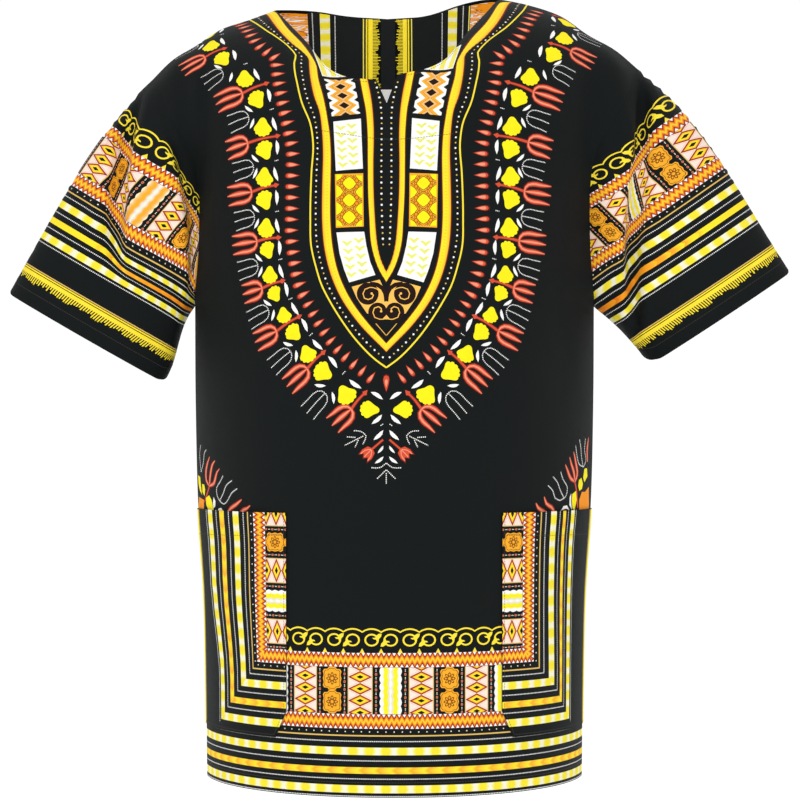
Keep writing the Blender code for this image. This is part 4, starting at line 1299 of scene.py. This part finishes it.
def sleeve_form(name):
    """A sleeve's shape by share round it (negative behind) and height above the cuff in millimetres."""
    side, outer_x, outer_z, inner_x, inner_z, cuff_depth = SLEEVE_ROWS[name]
    along = np.linspace(0.0, 1.0, 61)[:, None]
    cuff_way = np.array([side * (outer_z - inner_z), 0.0, inner_x - outer_x])
    cuff_way /= np.linalg.norm(cuff_way)
    up = np.arange(SLEEVE_LOW, 300.0, SLEEVE_PITCH)
    columns, tops = [], []
    seams = {front: sleeve_seam(side, front, 121)[::-1] for front in (True, False)}
    for q in np.linspace(-1.0, 1.0, 161):
        front, share = q > 0, abs(q)
        chord = (1 - math.cos(math.pi * share)) / 2
        cuff = np.array([side * (outer_x + (inner_x - outer_x) * chord),
                         (-1.0 if front else 1.0) * cuff_depth * math.sin(math.pi * share),
                         outer_z + (inner_z - outer_z) * chord])
        start = np.array([np.interp(share * 120, np.arange(121), seams[front][:, axis]) for axis in range(3)])
        span = float(np.linalg.norm(cuff - start))
        way = np.array(SLEEVE_START[name])
        way = way + float(ease(share * 1.6) * (1 - 0.8 * ease(2 * share - 1))) * ((cuff - start) / span - way)
        way /= np.linalg.norm(way)
        line = hermite(start, span * way, cuff, span * cuff_way, along)
        line[0] = line[0] + SEAM_PULL_BACK * way + np.array([side * SLEEVE_STAND_OFF * share, 0.0, 0.0])
        line = line[::-1]
        height = 1000 * run_of(line)
        past = line[-1] + (up[:, None] - height[-1]) * (line[-1] - line[-4]) / (height[-1] - height[-4])
        on = np.stack([np.interp(up, height, line[:, axis]) for axis in range(3)], axis=1)
        on += np.minimum(up, 0.0)[:, None] * (line[1] - line[0]) / height[1]
        columns.append(np.where(up[:, None] <= height[-1], on, past))
        tops.append(height[-1])
    grid = folded(np.array(columns))
    ways = ways_out(grid, -side)
    q, v = np.linspace(-1.0, 1.0, 161)[:, None], up[None, :]
    push = np.zeros(grid.shape[:2])
    tops = np.array(tops)
    for share, height, slope, half, hidden, shift, more, low, high in SLEEVE_FOLDS[name]:
        middle = share + (np.maximum(v, low) - height) * slope
        reach = ease((v - low) / (high - low)) * ease((tops[:, None] - v) / 26) * ease((np.abs(q) - 0.02) / 0.12)
        for mirror in (1, -1):
            across = (mirror * q - middle) / FOLD_HALF
            bulges = sum(np.exp(-((across + away) / 1.3) ** 2) for away in (2.2, -2.2))
            push += reach * (FOLD_DEPTH * np.exp(-across ** 2) - FOLD_SHOULDER * bulges)
    grid = grid - ways * push[..., None]
    return (grid, ways_out(grid, -side), (-1.0, 2.0 / 160, SLEEVE_LOW, SLEEVE_PITCH)), tops


def sleeve_print(name, cuff_run):
    """Two ways between the sleeve (share, height) and its flat print (distance round, height)."""
    folds, scale = SLEEVE_FOLDS[name], PRINT_SCALE[name]

    def hidden_part(q, v):
        total = np.zeros_like(q)
        for share, height, slope, half, hidden, shift, more, low, high in folds:
            middle = share + (v - height) * slope
            total = total + hidden * ease((v - 60) / 70) * ease((q - middle + half) / (2 * half))
        return total

    def shift_part(q, v):
        total = np.zeros_like(q)
        for share, height, slope, half, hidden, shift, more, low, high in folds:
            middle = share + (v - height) * slope
            reach = ease((v - low) / (high - low)) * ease((q - middle + half) / (2 * half))
            total = total + (shift + (v - height) * more) * reach
        return total

    def round_of(q, v):
        sign = np.sign(q)
        q = np.abs(q)
        grown = scale + (1.04 - scale) * (1 - ease(v / 60))
        return sign * (grown * np.interp(q, np.linspace(0, 1, len(cuff_run)), cuff_run) + hidden_part(q, v))

    def to_flat(q, v):
        q, v = np.asarray(q, dtype=float), np.asarray(v, dtype=float)
        return round_of(q, v), v + shift_part(np.abs(q), v)

    def to_sleeve(points):
        a, flat_v = points[:, 0], points[:, 1]
        v = flat_v.copy()
        for _ in range(14):
            low, high = np.full(len(a), -1.0), np.full(len(a), 1.0)
            for _ in range(24):
                middle = 0.5 * (low + high)
                over = round_of(middle, v) > a
                low, high = np.where(over, low, middle), np.where(over, middle, high)
            q = 0.5 * (low + high)
            v = 0.5 * v + 0.5 * (flat_v - shift_part(np.abs(q), v))
        return np.column_stack([q, v])

    return to_flat, to_sleeve


for name in ("sleeve_left", "sleeve_right"):
    form, tops = sleeve_form(name)
    side, outer_x, outer_z, inner_x, inner_z, cuff_depth = SLEEVE_ROWS[name]
    angle = np.linspace(0, math.pi, 61)
    half_chord = 0.5 * math.hypot(outer_x - inner_x, outer_z - inner_z)
    cuff_run = 1000 * run_of(np.stack([-half_chord * np.cos(angle), cuff_depth * np.sin(angle)], axis=1))
    to_flat, to_sleeve = sleeve_print(name, cuff_run)

    def bend(xy):
        """Flat cloth bent onto this sleeve."""
        return read_grid(form, to_sleeve(xy))

    def at_seam(xy):
        """Where the two edges of the cloth meet, behind the underarm seam."""
        return np.abs(to_sleeve(xy)[:, 0]) > 0.9995

    around = np.sin(0.5 * math.pi * np.linspace(-1, 1, 81))
    cuff_end, *radii = CUFF_EDGE[name]
    round_off = np.full(81, cuff_end)
    for turn, radius in zip((-np.cos(math.pi * around), np.cos(math.pi * around)), radii):
        near = np.clip(radius - 1000 * half_chord * (1 + turn), 0, radius)
        round_off += radius - np.sqrt(radius ** 2 - near ** 2)
    climb = np.arange(round_off[-1] + 4, tops[-1] - 3, 5.0)
    top_line = np.interp(around[::-1], np.linspace(-1, 1, 161), tops) + 2.5
    edge = np.vstack([np.stack(to_flat(q, v), axis=1) for q, v in (
        (around, round_off), (np.ones(len(climb)), climb), (around[::-1], top_line),
        (-np.ones(len(climb)), climb[::-1]))])
    motifs = []
    border(motifs, lambda u, y: (u, SLEEVE_BORDER + y), lambda y: (-330.0, 330.0), SLEEVE_PHASE[name], (-330, 330),
           low=-77, comb=True, wavy=SLEEVE_WAVY[name])
    sleeve = sew(name + "_cloth", edge, motifs, 7.0, bend, CLOTH, turned=side > 0, weld=at_seam)
    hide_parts(name)
    hem = np.stack(to_flat(around, round_off + 14.0), axis=1)
    stitched(name + "_stitches", bend, (hem[:41], hem[40:]))


# Pockets
# Two large patches of the same cotton, cut across the corner of the border print, so that their
# stripes turn a corner. Each is stitched to the front at its foot and its inner edge and goes into
# the side seam; its turned top stays open.
POCKET_TOP, POCKET_FOOT, POCKET_INNER = 286.0, 56.6, 114.0
POCKET_SHAPE = ((POCKET_INNER, POCKET_TOP), (POCKET_INNER, 83.8), (127.5, POCKET_FOOT), (SEAM_LINE, POCKET_FOOT),
                (SEAM_LINE, POCKET_TOP))

# The border's zigzag runs up the pocket and along its foot, this far from the front's middle and hem
POCKET_OUT, POCKET_UP = 146.4, 139.6
POCKET_SEAM = ((116.6, 285), (116.6, 180), (116.6, 84.6), (128.8, 59.2), (200, 59.2), (269, 59.2))
POCKET_TURN_IN = ((117, 263.0), (200, 260.5), (269, 259.0))
for name, side in (("pocket_left", -1.0), ("pocket_right", 1.0)):
    def out(y, height):
        """Distance of a stripe from the middle of the front; the print runs a little askew."""
        low, deep = float(ease((215 - height) / 105)), min(y, 0) ** 2
        if side < 0:
            return POCKET_OUT - y + (1 - low) * 0.0026 * deep - low * (2.0 + 3.5 * float(ease((5 - y) / 30)))
        return POCKET_OUT - y + (4.5 + 2 * low) * math.exp(-((-y - 36) / 18) ** 2) - 0.0003 * deep

    def bend(xy):
        """Flat cloth bent onto the front, standing off it most along the open top."""
        place, way = read_grid(FRONT_FORM, xy)
        bow = np.clip(np.sin(math.pi * (np.abs(xy[:, 0]) - POCKET_INNER) / 158), 0, 1)
        lift = 0.0013 + 0.0022 * np.exp(-((POCKET_TOP - xy[:, 1]) / 22) ** 2) * bow
        return place + way * lift[:, None], way

    motifs = []
    border(motifs, lambda u, y: (side * out(y, u), u), lambda y: (POCKET_UP + y, 292.0), 195.9, (150, 292),
           rings=False, steps=8)
    border(motifs, lambda u, y: (side * u, POCKET_UP + y), lambda y: (110.0, out(y, POCKET_UP + y)), 0.0, None,
           rings=False, low=-73)
    stroke(motifs, ((side * 262.5, 60), (side * 262.5, 285)), 1.3, "pale_gold")
    motifs.append(([(side * x, y) for x, y in ((265, 57), (271.6, 57), (271.6, 285), (265, 285))], "yellow", None))
    edge = np.array([(side * x, y) for x, y in POCKET_SHAPE])
    pocket = sew(name + "_cloth", edge if side < 0 else edge[::-1], motifs, 6.0, bend, CLOTH)
    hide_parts(name)
    stitched(name + "_stitches", bend, [[(side * x, y) for x, y in line] for line in (POCKET_SEAM, POCKET_TURN_IN)])


# Back neck facing
# A strip of the same cotton with upright stripes, sewn to the inside of the back's neckline and
# turned down. It shows above the front's lower neckline.

# Half length in millimetres; wall and distance from the back's cloth in metres
FACING_HALF, FACING_THICK, FACING_GAP = 149.5, 0.0008, 0.0021


def facing_line(s, down):
    """Height on the back's cloth, a share of the way down from its neckline."""
    top = panel_top(s / 1000, False)
    return top - (top - 500.8) * down


def corner_drop(s):
    """How far the facing's edge stays below the neckline: more at the neck corners."""
    return 4.0 if abs(s / 1000 - NECK_MIDDLE) > NECK_HALF - 0.03 else 0.4


reach = np.linspace(-FACING_HALF, FACING_HALF, 61) + 1000 * NECK_MIDDLE
upper = [(s, facing_line(s, 0) - corner_drop(s)) for s in reach]
lower = [(s, facing_line(s, 1 / 3)) for s in reach]
motifs = []


def upright(x0, x1, dye, pitch=1.0):
    """A stripe that runs up the facing between two distances across."""
    marks = ((900 / pitch, 0), (900 / pitch, 1), (500 / pitch, 1), (500 / pitch, 0))
    motifs.append((((x0, 900), (x1, 900), (x1, 500), (x0, 500)), dye, marks))


upright(-150, 150, "charcoal")
upright(-129, -96, "leafy")
upright(83.8, 112, "leafy")
for x in (-90.9, -66, 52.4, 75.6):
    upright(x - 0.5, x + 0.5, "dotted")
for x in (-34.4, 18.6, 82.4):
    upright(x - 0.6, x + 0.6, "pale_yellow")
upright(-82.7, -71.6, "checker", 16.8)
upright(59, 69, "checker", 16.8)
upright(-15.1, -31.7, "comb", 1.7)
upright(0.4, 15.9, "comb", 1.7)


def inside_back(xy, gap):
    """Flat cloth bent onto the inside of the back panel."""
    place, way = on_back(xy)
    return place - way * gap, -way


# The facing glows at half strength: painted light that lifts it out of the shade inside the neck.
facing = sew("back_neck_facing_cloth", np.array(lower + upper[::-1]), motifs, 7.0,
             lambda xy: inside_back(xy, FACING_GAP), FACING_THICK, painted_glow=0.50)
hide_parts("back_neck_facing")


# Label
# A small tab of woven white tape with nothing on it. It is sewn to the facing at the back of the
# neck and shows through the V slit.

# Its edges across in millimetres; wall and distance from the back's cloth in metres
LABEL_LEFT, LABEL_RIGHT, LABEL_THICK, LABEL_GAP = -16.4, 0.8, 0.0007, 0.0031
label_low, label_high = (facing_line(1000 * NECK_MIDDLE, k / 18) for k in (5.8, 4.4))
edge = np.array([(LABEL_LEFT, label_low), (LABEL_RIGHT, label_low), (LABEL_RIGHT, label_high),
                 (LABEL_LEFT, label_high)])
# The label glows too: painted light that lifts it out of the shade inside the neck.
label = sew("label_tape", edge, [(edge, "white", None)], 4.0, lambda xy: inside_back(xy, LABEL_GAP), LABEL_THICK,
            reverse="white", painted_glow=0.35)
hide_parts("label")


# Floor, light and camera
# A plain pale floor well below the hem, three big soft lights and an even pale surround, seen from
# straight in front at the photograph's height.
FLOOR_Z = HEM_Z - 0.25
floor_mesh = bpy.data.meshes.new("floor")
floor_mesh.from_pydata([(-9, -6, FLOOR_Z), (9, -6, FLOOR_Z), (9, 12, FLOOR_Z), (-9, 12, FLOOR_Z)], [], [(0, 1, 2, 3)])
floor = bpy.data.objects.new("floor", floor_mesh)
bpy.context.scene.collection.objects.link(floor)
paper = bpy.data.materials.new("floor_paper")
paper.use_nodes = True
paper_shader = paper.node_tree.nodes["Principled BSDF"]
paper_shader.inputs["Base Color"].default_value = (0.95, 0.95, 0.95, 1)
paper_shader.inputs["Roughness"].default_value = 0.9
paper_shader.inputs["Emission Color"].default_value = (1, 1, 1, 1)
paper_shader.inputs["Emission Strength"].default_value = 0.30
floor_mesh.materials.append(paper)

world = bpy.data.worlds.new("studio")
bpy.context.scene.world = world
world.use_nodes = True
backdrop = world.node_tree.nodes["Background"]
backdrop.inputs[0].default_value = (1, 1, 1, 1)
path = world.node_tree.nodes.new("ShaderNodeLightPath")
strength = calc(world.node_tree, "MULTIPLY_ADD", path.outputs["Is Camera Ray"], 0.30, 0.74)
world.node_tree.links.new(strength, backdrop.inputs[1])
bpy.context.scene.view_settings.view_transform = "Standard"

for name, place, turn, size, power in (
        ("key", (-1.6, -3.0, 0.9), (65, 0, -28), 1.6, 26),
        ("fill", (2.2, -2.6, 0.2), (78, 0, 40), 1.8, 12),
        ("top", (0.0, 0.2, 2.2), (0, 0, 0), 2.0, 12)):
    lamp = bpy.data.lights.new(name, "AREA")
    lamp.size = size
    lamp.energy = power
    lamp_object = bpy.data.objects.new(name, lamp)
    lamp_object.location = place
    lamp_object.rotation_euler = [math.radians(a) for a in turn]
    bpy.context.scene.collection.objects.link(lamp_object)

view = bpy.data.cameras.new("camera")
view.lens = 109.3
view.sensor_width = 36
camera = bpy.data.objects.new("camera", view)
camera.location = (0.0059, -2.6, -0.4173)
camera.rotation_euler = (math.radians(90), 0, 0)
bpy.context.scene.collection.objects.link(camera)
bpy.context.scene.camera = camera
